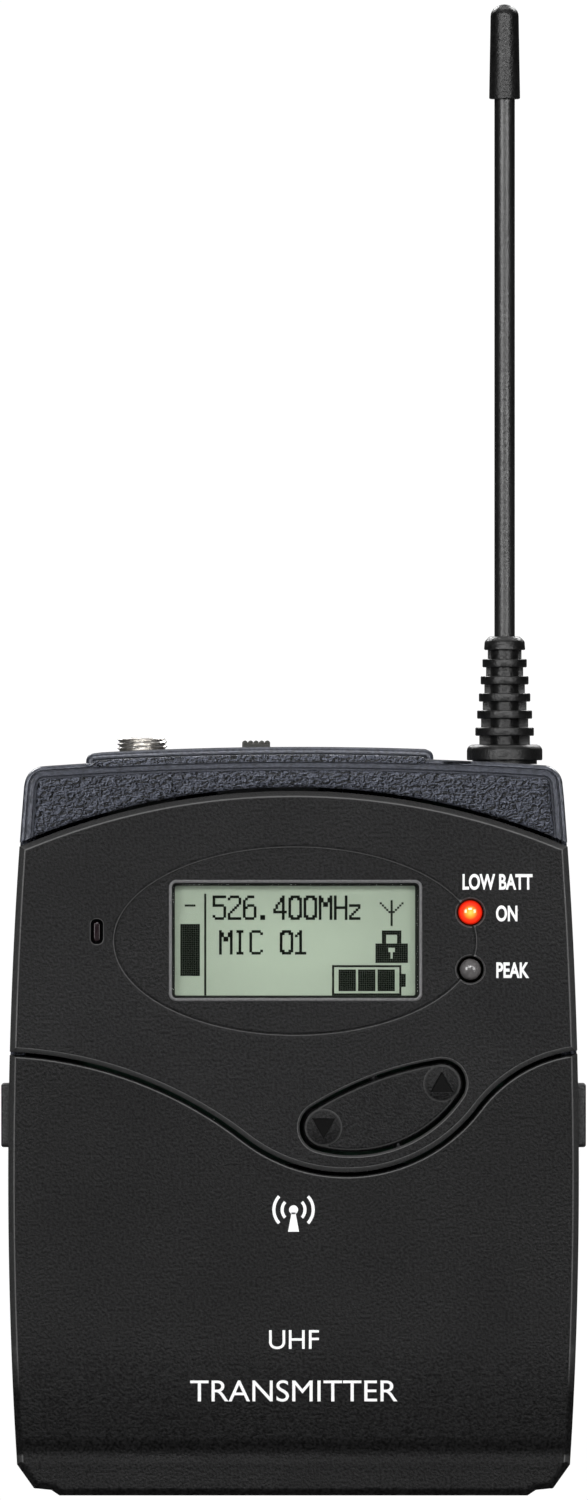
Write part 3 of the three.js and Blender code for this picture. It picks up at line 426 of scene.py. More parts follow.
class Look:
    """A Principled material with short calls for its nodes. Lengths in its calls are in mm."""

    def __init__(self, name, colour, roughness, **sockets):
        self.material = bpy.data.materials.new(name)
        self.material.use_nodes = True
        self.tree = self.material.node_tree
        self.shader = self.tree.nodes["Principled BSDF"]
        self.colour = (*colour, 1.0)
        self.shader.inputs["Base Color"].default_value = self.colour
        self.shader.inputs["Roughness"].default_value = roughness
        for socket, value in sockets.items():
            self.shader.inputs[socket.replace("_", " ")].default_value = value
        self.place = self.node("TexCoord").outputs["Object"]
        self.height = None

    def node(self, kind, **settings):
        made = self.tree.nodes.new("ShaderNode" + kind)
        for name, value in settings.items():
            setattr(made, name, value)
        return made

    def link(self, output, target):
        self.tree.links.new(output, target)

    def noise(self, size, detail=2.0, distortion=0.0, stretch=None, shift=(0.0, 0.0, 0.0)):
        made = self.node("TexNoise")
        made.inputs["Scale"].default_value = 1000.0 / size
        made.inputs["Detail"].default_value = detail
        made.inputs["Distortion"].default_value = distortion
        source = self.place
        if stretch:
            mapping = self.node("Mapping")
            mapping.inputs["Scale"].default_value = stretch
            mapping.inputs["Location"].default_value = shift
            self.link(source, mapping.inputs["Vector"])
            source = mapping.outputs["Vector"]
        self.link(source, made.inputs["Vector"])
        return made.outputs["Fac"]

    def spread(self, value, low, high, from_low=0.35, from_high=0.65):
        made = self.node("MapRange")
        set_range(made, from_low, from_high, low, high)
        self.link(value, made.inputs["Value"])
        return made.outputs["Result"]

    def tint(self, value, dark, light):
        """The base colour runs from dark to light times itself as value goes from 0.35 to 0.65."""
        mix = self.node("Mix", data_type="RGBA")
        self.link(self.spread(value, 0, 1), mix.inputs["Factor"])
        mix.inputs["A"].default_value = [c * dark for c in self.colour[:3]] + [1]
        mix.inputs["B"].default_value = [c * light for c in self.colour[:3]] + [1]
        self.link(mix.outputs["Result"], self.shader.inputs["Base Color"])
        return self

    def maths(self, operation, first, second):
        made = self.node("Math", operation=operation)
        self.link(first, made.inputs[0])
        self.link(second, made.inputs[1])
        return made.outputs["Value"]

    def painted_edge_highlight(self, colour, upward=False):
        """Painted highlight: lighter along the front's rounded edges, where they lean by 20 to 40 degrees
        and catch the lights in front; upward leaves out the ones that face down, away from the lights."""
        lean = self.node("SeparateXYZ")
        self.link(self.node("TexCoord").outputs["Normal"], lean.inputs["Vector"])
        near = self.spread(lean.outputs["Y"], 0, 1, -0.955, -0.9)
        far = self.spread(lean.outputs["Y"], 0, 1, -0.8, -0.68)
        factor = self.maths("SUBTRACT", near, far)
        if upward:
            factor = self.maths("MULTIPLY", factor, self.spread(lean.outputs["Z"], 0, 1, -0.12, -0.04))
        mix = self.node("Mix", data_type="RGBA")
        self.link(factor, mix.inputs["Factor"])
        self.link(self.shader.inputs["Base Color"].links[0].from_socket, mix.inputs["A"])
        mix.inputs["B"].default_value = (*colour, 1)
        self.link(mix.outputs["Result"], self.shader.inputs["Base Color"])
        return self

    def gloss(self, value, low, high):
        self.link(self.spread(value, low, high), self.shader.inputs["Roughness"])
        return self

    def bump(self, value, depth, strength=1.0):
        made = self.node("Bump")
        made.inputs["Strength"].default_value = strength
        made.inputs["Distance"].default_value = depth * MM
        self.link(value, made.inputs["Height"])
        if self.height:
            self.link(self.height, made.inputs["Normal"])
        self.height = made.outputs["Normal"]
        self.link(self.height, self.shader.inputs["Normal"])
        return self


def grained(name, colour, roughness, grain=0.22, depth=0.03, tone=0.18, edge_highlight=None, upward=False, **sockets):
    """Moulded plastic or paint with a fine even grain and faint wide patches, and with edge_highlight a
    painted highlight along the front's rounded edges.
    """
    look = Look(name, colour, roughness, **sockets)
    fine = look.noise(grain, 3.0)
    look.tint(fine, max(0.1, 1 - tone), 1 + tone)
    look.gloss(look.noise(grain * 40, 2.0), roughness - 0.04, roughness + 0.04)
    if edge_highlight:
        look.painted_edge_highlight(edge_highlight, upward)
    return look.bump(fine, depth).material


def leathery(name, colour, roughness, size=0.62, depth=0.16, **sockets):
    """Thick wrinkled paint: short folds with painted light and shade, lighter on one slope and darker on the
    other as if lit from one side, and finer pits.
    """
    look = Look(name, colour, roughness, **sockets)
    squeeze = (1.0, 1.0, 1.3)
    folds = look.noise(size, 1.5, 1.0, squeeze)
    beside = look.noise(size, 1.5, 1.0, squeeze, (size * 0.2 * MM, 0.0, -size * 0.26 * MM))
    # Painted light and shade: the folds less a shifted copy of themselves, used as colour below.
    slope = look.maths("SUBTRACT", folds, beside)
    pits = look.noise(size * 0.3, 2.0)
    look.tint(look.spread(slope, 0.35, 0.65, -0.09, 0.09), 0.1, 2.75)
    look.gloss(pits, roughness - 0.06, roughness + 0.1)
    return look.bump(folds, depth).bump(pits, depth * 0.2).material


def brushed(name, colour, roughness, stretch, tone=0.12, **sockets):
    """Metal with faint lines of its own making and a little uneven gloss."""
    look = Look(name, colour, roughness, Metallic=1.0, **sockets)
    lines = look.noise(0.25, 3.0, 0.0, stretch)
    look.tint(lines, 1 - tone, 1 + tone)
    look.gloss(lines, roughness - 0.06, roughness + 0.08)
    return look.bump(lines, 0.01, 0.5).material


def glass_pane():
    """A thin clear pane. Seen from 60 degrees off the front it mirrors far more than glass does."""
    look = Look("clear_pane", (0.9, 0.95, 0.9), 0.03)
    clear = look.node("BsdfTransparent")
    clear.inputs["Color"].default_value = (0.93, 0.96, 0.92, 1)
    mirror = look.node("BsdfGlossy")
    smears = look.spread(look.noise(6.0, 3.0), 0.02, 0.09)
    look.link(smears, mirror.inputs["Roughness"])
    fresnel = look.node("Fresnel")
    fresnel.inputs["IOR"].default_value = 1.4
    mix = look.node("MixShader")
    look.link(fresnel.outputs["Fac"], mix.inputs["Fac"])
    look.link(clear.outputs["BSDF"], mix.inputs[1])
    look.link(mirror.outputs["BSDF"], mix.inputs[2])
    output = look.tree.nodes["Material Output"]
    look.link(mix.outputs["Shader"], output.inputs["Surface"])
    look.tree.nodes.remove(look.shader)
    return look.material


def glowing_lens(z):
    """A lit lamp: yellow at its middle, red around it and dark red at its rim."""
    look = Look("lit_lens", (0.35, 0.01, 0.005), 0.12, Coat_Weight=0.5)
    parts = look.node("SeparateXYZ")
    look.link(look.place, parts.inputs["Vector"])
    flat = look.node("CombineXYZ")
    look.link(parts.outputs["X"], flat.inputs["X"])
    look.link(parts.outputs["Z"], flat.inputs["Z"])
    away = look.node("VectorMath", operation="DISTANCE")
    look.link(flat.outputs["Vector"], away.inputs[0])
    away.inputs[1].default_value = (LAMP_X * MM, 0, z * MM)
    ramp = look.node("ValToRGB")
    yellow, orange, red, dark_red = (1.0, 0.62, 0.1), (1.0, 0.3, 0.02), (0.9, 0.03, 0.004), (
        0.16, 0.001, 0.001
    )
    stops = [(0.0, yellow), (0.32, orange), (0.6, red), (1.0, dark_red)]
    while len(ramp.color_ramp.elements) < len(stops):
        ramp.color_ramp.elements.new(0.5)
    for element, (at, colour) in zip(ramp.color_ramp.elements, stops):
        element.position = at
        element.color = (*colour, 1)
    look.link(look.spread(away.outputs["Value"], 0, 1, 0.0, 1.35 * MM), ramp.inputs["Fac"])
    look.link(ramp.outputs["Color"], look.shader.inputs["Emission Color"])
    look.shader.inputs["Emission Strength"].default_value = 1.5
    look.gloss(look.noise(0.4), 0.08, 0.16)
    return look.material


def display_face():
    """The green-grey face of the display, with painted shade: lighter at its middle and darker at its edges,
    as if shaded by the window's rim.
    """
    look = Look("display_face", (0.44, 0.465, 0.43), 0.45)
    middle = look.node("VectorMath", operation="DISTANCE")
    squash = look.node("Mapping")
    squash.inputs["Scale"].default_value = (1.0, 0.0, 1.9)
    look.link(look.place, squash.inputs["Vector"])
    look.link(squash.outputs["Vector"], middle.inputs[0])
    middle.inputs[1].default_value = (0.0002, 0, 0.06 * 1.9)
    painted_edge_shade = look.spread(middle.outputs["Value"], 0.65, 0.35, 0.004, 0.016)
    look.tint(painted_edge_shade, 0.88, 1.06)
    look.gloss(look.noise(0.2), 0.35, 0.5)
    look.bump(look.noise(0.24), 0.004)
    return look.material


BLACK = (0.0046, 0.0046, 0.0048)
GREY_BLUE = (0.046, 0.050, 0.064)
# black_plastic, cover_plastic and pad_plastic carry a painted highlight along their front edges, in the
# colour given after tone.
black_plastic = grained(
    "black_plastic", BLACK, 0.5, 0.3, 0.12, 1.6, (0.12, 0.12, 0.12), Specular_IOR_Level=0.16
)
cover_plastic = grained(
    "cover_plastic", (0.0042, 0.0042, 0.0043), 0.5, 0.3, 0.12, 1.6, (0.1, 0.1, 0.1), upward=True,
    Specular_IOR_Level=0.14
)
pad_plastic = grained(
    "pad_plastic", BLACK, 0.46, 0.26, 0.09, 1.4, (0.045, 0.045, 0.045), Specular_IOR_Level=0.14
)
key_plastic = grained("key_plastic", (0.02, 0.02, 0.0205), 0.45, 0.26, 0.05, 0.6, Specular_IOR_Level=0.3)
bezel_highlight_grey = grained("bezel_highlight_grey", (0.12, 0.12, 0.122), 0.4, 0.3, 0.01, 0.2)
arrow_floor_shade = grained("arrow_floor_shade", (0.002, 0.002, 0.002), 0.7, 0.3, 0.01, 0.3, Specular_IOR_Level=0.1)
dark_border_black = grained("dark_border_black", (0.004, 0.004, 0.004), 0.5, 0.3, 0.01, 0.3, Specular_IOR_Level=0.2)
inner_plastic = grained("inner_plastic", (0.04, 0.041, 0.044), 0.5, 0.5, 0.02, 0.12)
slider_plastic = grained("slider_plastic", (0.012, 0.012, 0.008), 0.42, 0.3, 0.02)
# wrinkle_paint has painted light and shade on its folds.
wrinkle_paint = leathery("wrinkle_paint", GREY_BLUE, 0.36, 0.6, 1.1, Metallic=0.25)
smooth_paint = grained("smooth_paint", GREY_BLUE, 0.34, 0.4, 0.04, 0.35, Metallic=0.25)
rubber = grained("antenna_rubber", (0.0035, 0.0035, 0.0035), 0.4, 0.3, 0.06, 0.6, Specular_IOR_Level=0.46)
whip_rubber = grained("whip_rubber", (0.004, 0.004, 0.004), 0.4, 0.4, 0.04, 0.4, Specular_IOR_Level=0.8)
nickel = brushed("nickel", (0.66, 0.64, 0.61), 0.3, (1, 1, 14))
spring_steel = brushed("spring_steel", (0.42, 0.43, 0.45), 0.28, (14, 1, 1))
black_steel = grained("black_steel", (0.045, 0.046, 0.048), 0.4, 0.3, 0.03, 0.3, Metallic=0.4)
gold = brushed("gold_contact", (0.72, 0.46, 0.14), 0.22, (1, 8, 1))
white_print = grained("white_print", (0.9, 0.9, 0.9), 0.5, 0.15, 0.004, 0.05)
pixel_black = grained("pixel_black", (0.002, 0.003, 0.002), 0.6, 0.1, 0.002, 0.2, Specular_IOR_Level=0.1)
dark_lens = grained("dark_lens", (0.10, 0.095, 0.095), 0.22, 0.6, 0.01, 0.2, Coat_Weight=0.4)
smoked = grained("smoked_lens", (0.012, 0.006, 0.008), 0.12, 0.6, 0.004, 0.1)
red_plastic = grained("red_plastic", (0.42, 0.015, 0.012), 0.42, 0.3, 0.02, 0.1)
grey_plastic = grained("grey_plastic", (0.13, 0.135, 0.145), 0.45, 0.3, 0.02, 0.1)
circuit_green = grained("circuit_green", (0.006, 0.05, 0.025), 0.4, 2.2, 0.02, 0.35)
diffuser = grained("diffuser", (0.72, 0.76, 0.70), 0.5, 0.5, 0.01, 0.05)
foam = grained("foam", (0.03, 0.03, 0.032), 0.9, 0.35, 0.14, 0.5, Specular_IOR_Level=0.15)
cell_blue = grained("cell_blue", (0.03, 0.12, 0.24), 0.3, 1.2, 0.01, 0.12, Coat_Weight=0.3)
cell_grey = grained("cell_grey", (0.42, 0.43, 0.44), 0.3, 1.2, 0.01, 0.1, Coat_Weight=0.3)


# ------------------------------------------------------------------ shells
def front_panel():
    crown = crown_outline(-SEAM / 2)
    seam = cover_outline(SEAM / 2)
    body = prism(case_outline(), FRONT, SPLIT, crest(0.9, 0.5))
    under = prism(crown, FRONT - 0.001, SPLIT + 1, crest(0.85, 0.5))
    inside = combine(
        prism(offset(case_outline(), WALL), FRONT + WALL, SPLIT + 1),
        keep=[prism(offset(crown, WALL), FRONT, SPLIT + 2)],
        cut=[prism(offset(seam, -WALL), FRONT, SPLIT + 2)],
    )
    x, z, w, h = EYE
    slot = box_outline(x - w / 2, x + w / 2, z - h / 2, z + h / 2, 0.55)
    x0, x1, z0, z1 = GLASS
    glass = box_outline(x0 - 0.1, x1 + 0.1, z0 - 0.06, z1 + 0.1, 0.5)
    deep = FRONT + WALL + 0.5
    mouth = opening(offset(rocker_outline(), -0.4), FRONT, deep, crest(0.34, 0.2))
    holes = [
        opening(seam, FRONT, SPLIT + 1, crest(0.62, 0.25)),
        opening(offset(glass, -0.34), FRONT, FRONT + 0.6),
        opening(glass, FRONT, deep),
        opening(slot, FRONT, deep, rounded(0.16, 3)),
        block(-27, 27, -7.2, SPLIT + 1, 30, 60),
        oval_groove(),
    ]
    holes += [
        opening(circle(LAMP_X, lz, 1.47), FRONT, deep, crest(0.22, 0.09)) for lz in (LAMP_ON_Z, LAMP_PEAK_Z)
    ]
    shell = combine(body, keep=[under], cut=[inside, mouth, *holes])
    posts = [rod("Y", 2.4, FRONT + 1, 4.5, (px, 0, pz)) for px, pz in SCREWS if pz > WIDEST_Z]
    lugs = [along_rocker(block(-1.2, 1.2, -9.4, -6.9, v0, v1)) for v0, v1 in ((-6.2, -5.0), (3.45, 4.9))]
    bores = [rod("Y", 1.4, -4, 6, (px, 0, pz)) for px, pz in SCREWS]
    bores.append(along_rocker(rod("Z", 0.9, -5.9, 6, (0, -8.0, 0))))
    shell = combine(shell, add=[*posts, *lugs], cut=bores)
    piece("front_panel_shell", shell, black_plastic, ["front_panel"])
    # The bezel's light grey is a painted highlight: it makes the light line round the window's bevelled
    # edge.
    roof = [(0.31, 0.1), (0.3, 0.055), (0.16, 0.0), (0.03, 0.055), (0.0, 0.1)]
    bezel = prism(offset(glass, -0.33), FRONT - 0.05, FRONT + 0.58, roof)
    piece(
        "display_bezel", combine(bezel, cut=[opening(glass, FRONT, deep)]), bezel_highlight_grey,
    )


def oval_groove():
    """A ring with a small sloping section that cuts the fine oval line round the display."""
    steps, cx, cz, a, b = 180, 0.17, 60.66, 19.7, 10.15
    section = [(-0.14, -0.2), (0.5, -0.2), (0.5, -0.001), (0.12, 0.18), (0.1, 0.34), (-0.14, 0.34)]
    bm = bmesh.new()
    rings = []
    for i in range(steps):
        t = 2 * math.pi * i / steps
        normal = Vector((math.cos(t) / a, math.sin(t) / b)).normalized()
        x, z = cx + a * math.cos(t), cz + b * math.sin(t)
        rings.append(
            [bm.verts.new((x + normal.x * out, FRONT + y, z + normal.y * out)) for out, y in section]
        )
    for i, near in enumerate(rings):
        far = rings[(i + 1) % steps]
        for j in range(len(section)):
            k = (j + 1) % len(section)
            bm.faces.new((near[j], near[k], far[k], far[j]))
    return finish_mesh(bm)


def lean_back(z):
    """How far the cover's face lies behind its flat part at height z: a roll back with a shallow dip
    near the foot, then a soft crease into the upright lip."""
    crease, dip_depth, dip_z, dip_half = 1.6, 0.32, 4.8, 1.4
    steepest = (ROLL_START - LIP_Z) / ROLL_RADIUS
    reach = (ROLL_START - max(z, LIP_Z)) ** 2 / (2 * ROLL_RADIUS)
    below = min(max(LIP_Z - z, 0.0), crease)
    dip = dip_depth * max(0.0, 1 - ((z - dip_z) / dip_half) ** 2) ** 2
    return reach + steepest * (below - below**2 / (2 * crease)) + dip


def roll_back(mesh):
    """Leans the lower front back towards the foot, down to an upright lip along the bottom."""
    bm = bmesh.new()
    bm.from_mesh(mesh)
    steps, still_y, ramp = 44, -7.8, 2.2
    for i in range(1, steps):
        plane = (0, 0, ROLL_START * i / steps)
        everything = bm.verts[:] + bm.edges[:] + bm.faces[:]
        bmesh.ops.bisect_plane(bm, geom=everything, plane_co=plane, plane_no=(0, 0, 1))
    for v in bm.verts:
        if v.co.z < ROLL_START and v.co.y < still_y:
            share = min(1.0, (still_y - v.co.y) / ramp)
            v.co.y += share * lean_back(v.co.z)
    return finish_mesh(bm)


def battery_cover():
    seam = cover_outline(-SEAM / 2)
    case = case_outline()
    body = prism(case, FRONT, SPLIT, crest(0.9, 0.5))
    below = prism(seam, FRONT - 0.001, SPLIT + 1, rounded(0.42, 5))
    inside = prism(offset(case, WALL), FRONT + WALL, 0)
    shell = combine(body, keep=[below], cut=[inside])
    shell = roll_back(shell)
    y, z = HINGE_Y, HINGE_Z
    cuts = [block(-28.7, 28.7, y, 0, -1, z + 0.4), block(-40, 40, SPLIT, 0, -1, z + 5)]
    added = [rod("X", 2.0, -FOOT[0][0], FOOT[0][0], (0, y, z), 0.2, 40)]
    removed = []
    for _, side in SIDES:
        removed.append(block(*span(side, 25.6, 28.7), -7.5, 0, -1, 3.9))
        removed.append(rod("X", 0.85, *span(side, 20.6, 40), (0, y, z)))
        removed.append(block(*span(side, 27, 33), -10.4, -5.4, 37.8, 45.4))
        added.append(block(*span(side, 23.6, 24.5), FRONT + 1, -6.9, 40, 43.2))
    added += [block(-25, 25, -10.6, -9.9, rib_z, rib_z + 0.9) for rib_z in (24.5, 31.5)]
    shell = combine(shell, cut=cuts)
    shell = combine(shell, add=added, cut=removed)
    piece(
        "battery_cover_shell", shell, cover_plastic, ["battery_cover"], body="battery_cover"
    )


def cap_rim():
    """From the flat face outwards: pillow edge, groove, sloping band, crease, rounded rim."""
    pillow = [(2.1, 0), (1.85, 0.06), (1.6, 0.16), (1.46, 0.34), (1.4, 0.6), (1.38, 0.8)]
    band = [(1.2, 0.8), (1.16, 0.44), (1.1, 0.4), (0.66, 0.58), (0.6, 0.8)]
    rim = [
        (0.52, 0.8), (0.46, 0.58), (0.4, 0.54), (0.36, 0.55), (0.14, 0.64), (0.06, 0.8), (0.02, 1.05),
        (0.0, 1.5)
    ]
    return pillow + band + rim


def top_cap():
    low = CAP_SPLIT + SEAM
    outline = cap_outline()
    front = prism(outline, FRONT, SPLIT, cap_rim())
    top = combine(
        prism(outline, FRONT + 1.6, BACK, back=rounded(1.6, 8)), keep=[block(-40, 40, -20, 20, low, 90)]
    )
    platform = band_outline(PLATFORM_X0, PLATFORM_X1, PLATFORM_Z + 0.03, 79, 0.9)
    raised = prism(platform, -PLATFORM_Y - 0.25, PLATFORM_Y, rounded(0.55), rounded(0.5))
    groove_back = -PLATFORM_Y + 0.35
    undercut = prism(offset(platform, 0.68), -13, groove_back)
    core = prism(offset(platform, 0.6), groove_back, PLATFORM_Y - 0.3)
    strip_outline = band_outline(PLATFORM_X0 + 0.84, PLATFORM_X1 - 0.84, PLATFORM_Z - 0.81, 77, 0.5)
    slope = [(0.8, 0), (0.1, 0.25), (0.02, 0.35), (0.0, 0.6)]
    strip = prism(strip_outline, FRONT + 0.45, -PLATFORM_Y + 1, slope)
    strip = combine(strip, cut=[prism(offset(outline, 0.5), -13, -10.2)])
    under = opening(crown_outline(SEAM / 2), FRONT, SPLIT + 0.2, rounded(0.5, 5))
    half_inside = side_x(CAP_SPLIT) - WALL
    hollow = [
        block(-27.2, 27.2, FRONT + WALL + 0.4, BACK - WALL, 60, SHOULDER_Z - 2.2),
        block(-half_inside, half_inside, FRONT + WALL, 0, 60, CAP_SPLIT - 0.4),
        block(-21.2, 13.8, -7.8, 7.8, 60, 80.2),
        block(MUTE_X0 - 0.35, MUTE_X1 + 2.35, -1.95, 1.95, 75, 85, 0.3),
        rod("Z", 3.0, 75, 85, (JACK_X, 0, 0)),
        rod("Z", 3.2, 75, 85, (ANTENNA_X, 0, 0)),
        rod("Z", 4.5, 79.9, 85, (ANTENNA_X, 0, 0), 0.0, 64),
        block(16.4, 19.4, -13, -9.5, 80.02, 80.3),
    ]
    solid = combine(front, add=[top])
    solid = combine(solid, add=[combine(raised, cut=[undercut]), core, strip], cut=[under, *hollow])
    cap = piece("top_cap_shell", solid, wrinkle_paint, ["top_cap"])
    coat(cap, smooth_paint, smooth_on_cap)


def smooth_on_cap(centre):
    """The rim round the front and the platform's front edge carry smooth paint."""
    x, y, z = centre
    on_strip = PLATFORM_X0 < x < PLATFORM_X1 and z > top_z(x, SHOULDER_Z) - 0.5
    on_rim = FRONT + 0.36 < y < -10.4 and not on_strip
    return on_rim or (-PLATFORM_Y - 0.3 < y < -PLATFORM_Y + 0.4 and z > 80)


def rear_shell():
    low_edge_y, low_edge_z = -3.0, 4.6
    inside = prism(offset(case_outline(), WALL), SPLIT - 1, BACK - WALL)
    top = block(-40, 40, -20, 20, -1, CAP_SPLIT)
    outer = prism(case_outline(), SPLIT + SEAM, BACK, crest(0.25, 0.1), rounded(1.8, 8))
    shell = combine(outer, keep=[top], cut=[inside, block(-40, 40, SPLIT, low_edge_y, -1, low_edge_z)])
    added = []
    removed = []
    for _, side in SIDES:
        knuckle = block(*span(side, 25.95, 28.35), HINGE_Y, low_edge_y + 2, HINGE_Z - 1.35, HINGE_Z + 1.35)
        added.append(knuckle)
        added.append(rod("X", 1.35, *span(side, 25.95, 28.35), (0, HINGE_Y, HINGE_Z)))
        added.append(block(*span(side, 28.65, 30), SPLIT + SEAM, -3, 39, 44.2))
        removed.append(rod("X", 0.85, *span(side, 24.95, 29.35), (0, HINGE_Y, HINGE_Z)))
        removed.append(rod("X", 1.9, *span(side, 27, 33), (0, CHARGER_Y, CHARGER_Z)))
        removed.append(rod("Y", 1.3, 9, 13, (side * CLIP_SCREW_X, 0, CLIP_SCREW_Z)))
    for x, z in SCREWS:
        added.append(rod("Y", 3.3, 8.4, BACK - 1, (x, 0, z)))
        removed.append(rod("Y", 2.5, 10.2, BACK + 1, (x, 0, z), 0.0, 40))
        removed.append(rod("Y", 1.4, 8, BACK, (x, 0, z)))
    shell = combine(shell, add=added, cut=removed)
    piece("rear_tub", shell, wrinkle_paint, ["rear_shell"])


# ------------------------------------------------------------------ display, lamps, labels
GLYPHS = {
    "0": " #### ,##  ##,#    #,#    #,#    #,#    #,#    #,#    #,#    #,##  ##, #### ",
    "1": "  #   , ##   ,# #   ,  #   ,  #   ,  #   ,  #   ,  #   ,  #   ,  #   ,##### ",
    "2": " #### ,#    #,     #,     #,    # ,   #  ,  #   , #    ,#     ,#     ,######",
    "4": "    # ,   ## ,   ## ,  # # , #  # , #  # ,#   # ,######,    # ,    # ,    # ",
    "5": "######,#     ,#     ,#     ,##### ,     #,     #,     #,     #,#    #, #### ",
    "6": "  ### , #    ,#     ,#     ,# ### ,##   #,#    #,#    #,#    #,#    #, #### ",
    "M": "#    #,##  ##,##  ##,# ## #,# ## #,#    #,#    #,#    #,#    #,#    #,#    #",
    "H": "#    #,#    #,#    #,#    #,#    #,######,#    #,#    #,#    #,#    #,#    #",
    "z": "      ,      ,      ,      ,##### ,    # ,   #  ,  #   , #    ,#     ,##### ",
    "I": " ###  ,  #   ,  #   ,  #   ,  #   ,  #   ,  #   ,  #   ,  #   ,  #   , ###  ",
    "C": " #### ,#    #,#     ,#     ,#     ,#     ,#     ,#     ,#     ,#    #, #### ",
    ".": "      ,      ,      ,      ,      ,      ,      ,      ,      , ##   , ##   ",
    " ": "",
}


def written(words, column, row):
    """The dots of a line of words in the display's own alphabet."""
    dots = []
    for k, letter in enumerate(words):
        for j, line in enumerate(GLYPHS[letter].split(",")):
            dots += [(column + 7 * k + i, row + j) for i, mark in enumerate(line) if mark == "#"]
    return dots


def filled(x0, x1, y0, y1):
    return [(i, j) for i in range(x0, x1 + 1) for j in range(y0, y1 + 1)]


def framed(x0, x1, y0, y1):
    return [(i, j) for i, j in filled(x0, x1, y0, y1) if i in (x0, x1) or j in (y0, y1)]


def display_dots():
    """A level meter, a frequency, a channel name, an aerial, a padlock and a battery."""
    dots = filled(4, 8, 8, 8) + filled(2, 10, 17, 40) + filled(13, 13, 3, 49)
    dots += written("526.400MHz", 17, 4) + written("MIC 01", 20, 20)
    dots += filled(99, 99, 6, 17) + [
        (99 - k, 12 - k) for k in range(1, 6)
    ] + [(99 + k, 12 - k) for k in range(1, 6)]
    dots += filled(92, 106, 26, 34) + framed(95, 103, 20, 26) + framed(96, 102, 21, 26)
    keyhole = filled(99, 99, 28, 32) + filled(98, 100, 28, 29)
    dots += framed(72, 103, 36, 49) + filled(104, 105, 40, 45)
    for k in range(3):
        dots += filled(75 + 9 * k, 82 + 9 * k, 38, 47)
    return sorted(set(dots) - set(keyhole))


def display_marks(face_y):
    """Each dot is a thin raised square; the words' dots are wider, so that their strokes join."""
    pitch, ink, left, top = 0.237, 0.229, -12.85, 66.55
    bm = bmesh.new()
    for column, row in display_dots():
        x, z = left + column * pitch, top - row * pitch
        in_words = 16 < column < 92 and row < 36
        grow = 0.035 if in_words else 0.0
        corners = box_outline(x - grow, x + ink + grow, z - ink - grow, z + grow)
        near = [bm.verts.new((a, face_y - 0.03, b)) for a, b in corners]
        far = [bm.verts.new((a, face_y - 0.002, b)) for a, b in corners]
        bm.faces.new(near)
        bm.faces.new(reversed(far))
        for i in range(4):
            j = (i + 1) % 4
            bm.faces.new((near[i], far[i], far[j], near[j]))
    piece("display_dots", finish_mesh(bm), pixel_black)


def display():
    x0, x1, z0, z1 = GLASS
    pane = prism(box_outline(x0, x1, z0, z1, 0.45), -11.9, -10.8, rounded(0.12, 3))
    piece("display_pane", pane, glass_pane(), ["display_window"])
    low, high = (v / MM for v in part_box("lcd_glass"))
    face = block(low.x, high.x, low.y, high.y, low.z, high.z, 0.15)
    piece("display_face", face, display_face(), ["lcd_glass"])
    display_marks(low.y)
    # A near-black frame round the display's visible area makes the border inside the window dark.
    border_frame = prism(
        box_outline(low.x + 0.2, high.x - 0.2, low.z + 0.2, high.z - 0.2, 0.3), low.y - 0.3, low.y - 0.06
    )
    window = box_outline(-12.98, 13.3, 54.7, 66.7, 0.2)
    piece(
        "display_dark_border", combine(border_frame, cut=[prism(window, low.y - 1, low.y + 1)]), dark_border_black,
    )
    lit = ("led_on", LAMP_ON_Z, 1.33, glowing_lens(LAMP_ON_Z), "red_lamp")
    dark = ("led_peak", LAMP_PEAK_Z, 1.18, dark_lens, "dark_lamp")
    for name, z, r, look, slot in (lit, dark):
        angles = [math.pi / 16 * i for i in range(1, 9)]
        dome = [(0, 3.35)] + [(r * math.sin(a), 2.5 + 0.85 * math.cos(a)) for a in angles]
        dome += [(r, 0.1), (r - 0.1, 0), (0, 0)]
        lens = moved(lathe(dome, "Y", (0, 0, 0), 40), Matrix.Scale(-1, 4, (0, 1, 0)))
        lens.transform(Matrix.Translation((LAMP_X, -8.7, z)))
        piece(name + "_lens", lens, look, [name])
    ex, ez, w, h = EYE
    eye = prism(box_outline(ex - 0.35, ex + 0.35, ez - 1.05, ez + 1.05, 0.3), -11.4, -9.4, rounded(0.1, 3))
    piece("infrared_lens", eye, smoked, ["infrared_window"])


def lettering(name, words, size, x, z, y, body, thick=0.0, squeeze=1.0, align="LEFT"):
    """Printed words: a very thin raised layer, from the font that Blender holds itself. On the
    cover they follow its lean."""
    curve = bpy.data.curves.new(name, "FONT")
    curve.body = words
    curve.size = size
    curve.offset = thick
    curve.extrude = PRINT_DEPTH
    curve.align_x = align
    holder = bpy.data.objects.new(name + "_curve", curve)
    bpy.context.scene.collection.objects.link(holder)
    bpy.context.view_layer.update()
    evaluated = holder.evaluated_get(bpy.context.evaluated_depsgraph_get())
    mesh = bpy.data.meshes.new_from_object(evaluated)
    bpy.data.objects.remove(holder)
    upright = Matrix.Rotation(math.pi / 2, 4, "X") @ Matrix.Diagonal((squeeze, 1, 1, 1))
    mesh.transform(Matrix.Translation((x, y, z)) @ upright)
    if body == "battery_cover":
        for v in mesh.vertices:
            v.co.y += lean_back(v.co.z) - 0.02 if v.co.z < ROLL_START else 0.0
    return piece(name, mesh, white_print, body=body)


def labels():
    """Plain indicator words beside the lamps, and plain marks on the battery cover."""
    face = FRONT - PRINT_DEPTH
    lettering("print_low_battery", "LOW BATT", 2.3, 18.4, 66.35, face, "root", 0.07, 0.66)
    lettering("print_on", "ON", 2.3, 22.1, 62.9, face, "root", 0.07, 0.66)
    lettering("print_peak", "PEAK", 2.3, 22.1, 56.7, face, "root", 0.07, 0.66)
    lettering("print_name", "TRANSMITTER", 3.35, 0, 10.35, face, "battery_cover", 0.0, 1.05, "CENTER")
    lettering("print_band", "UHF", 3.0, 0, 16.1, face, "battery_cover", 0.0, 1.0, "CENTER")
    radio_mark(0, 31.0)


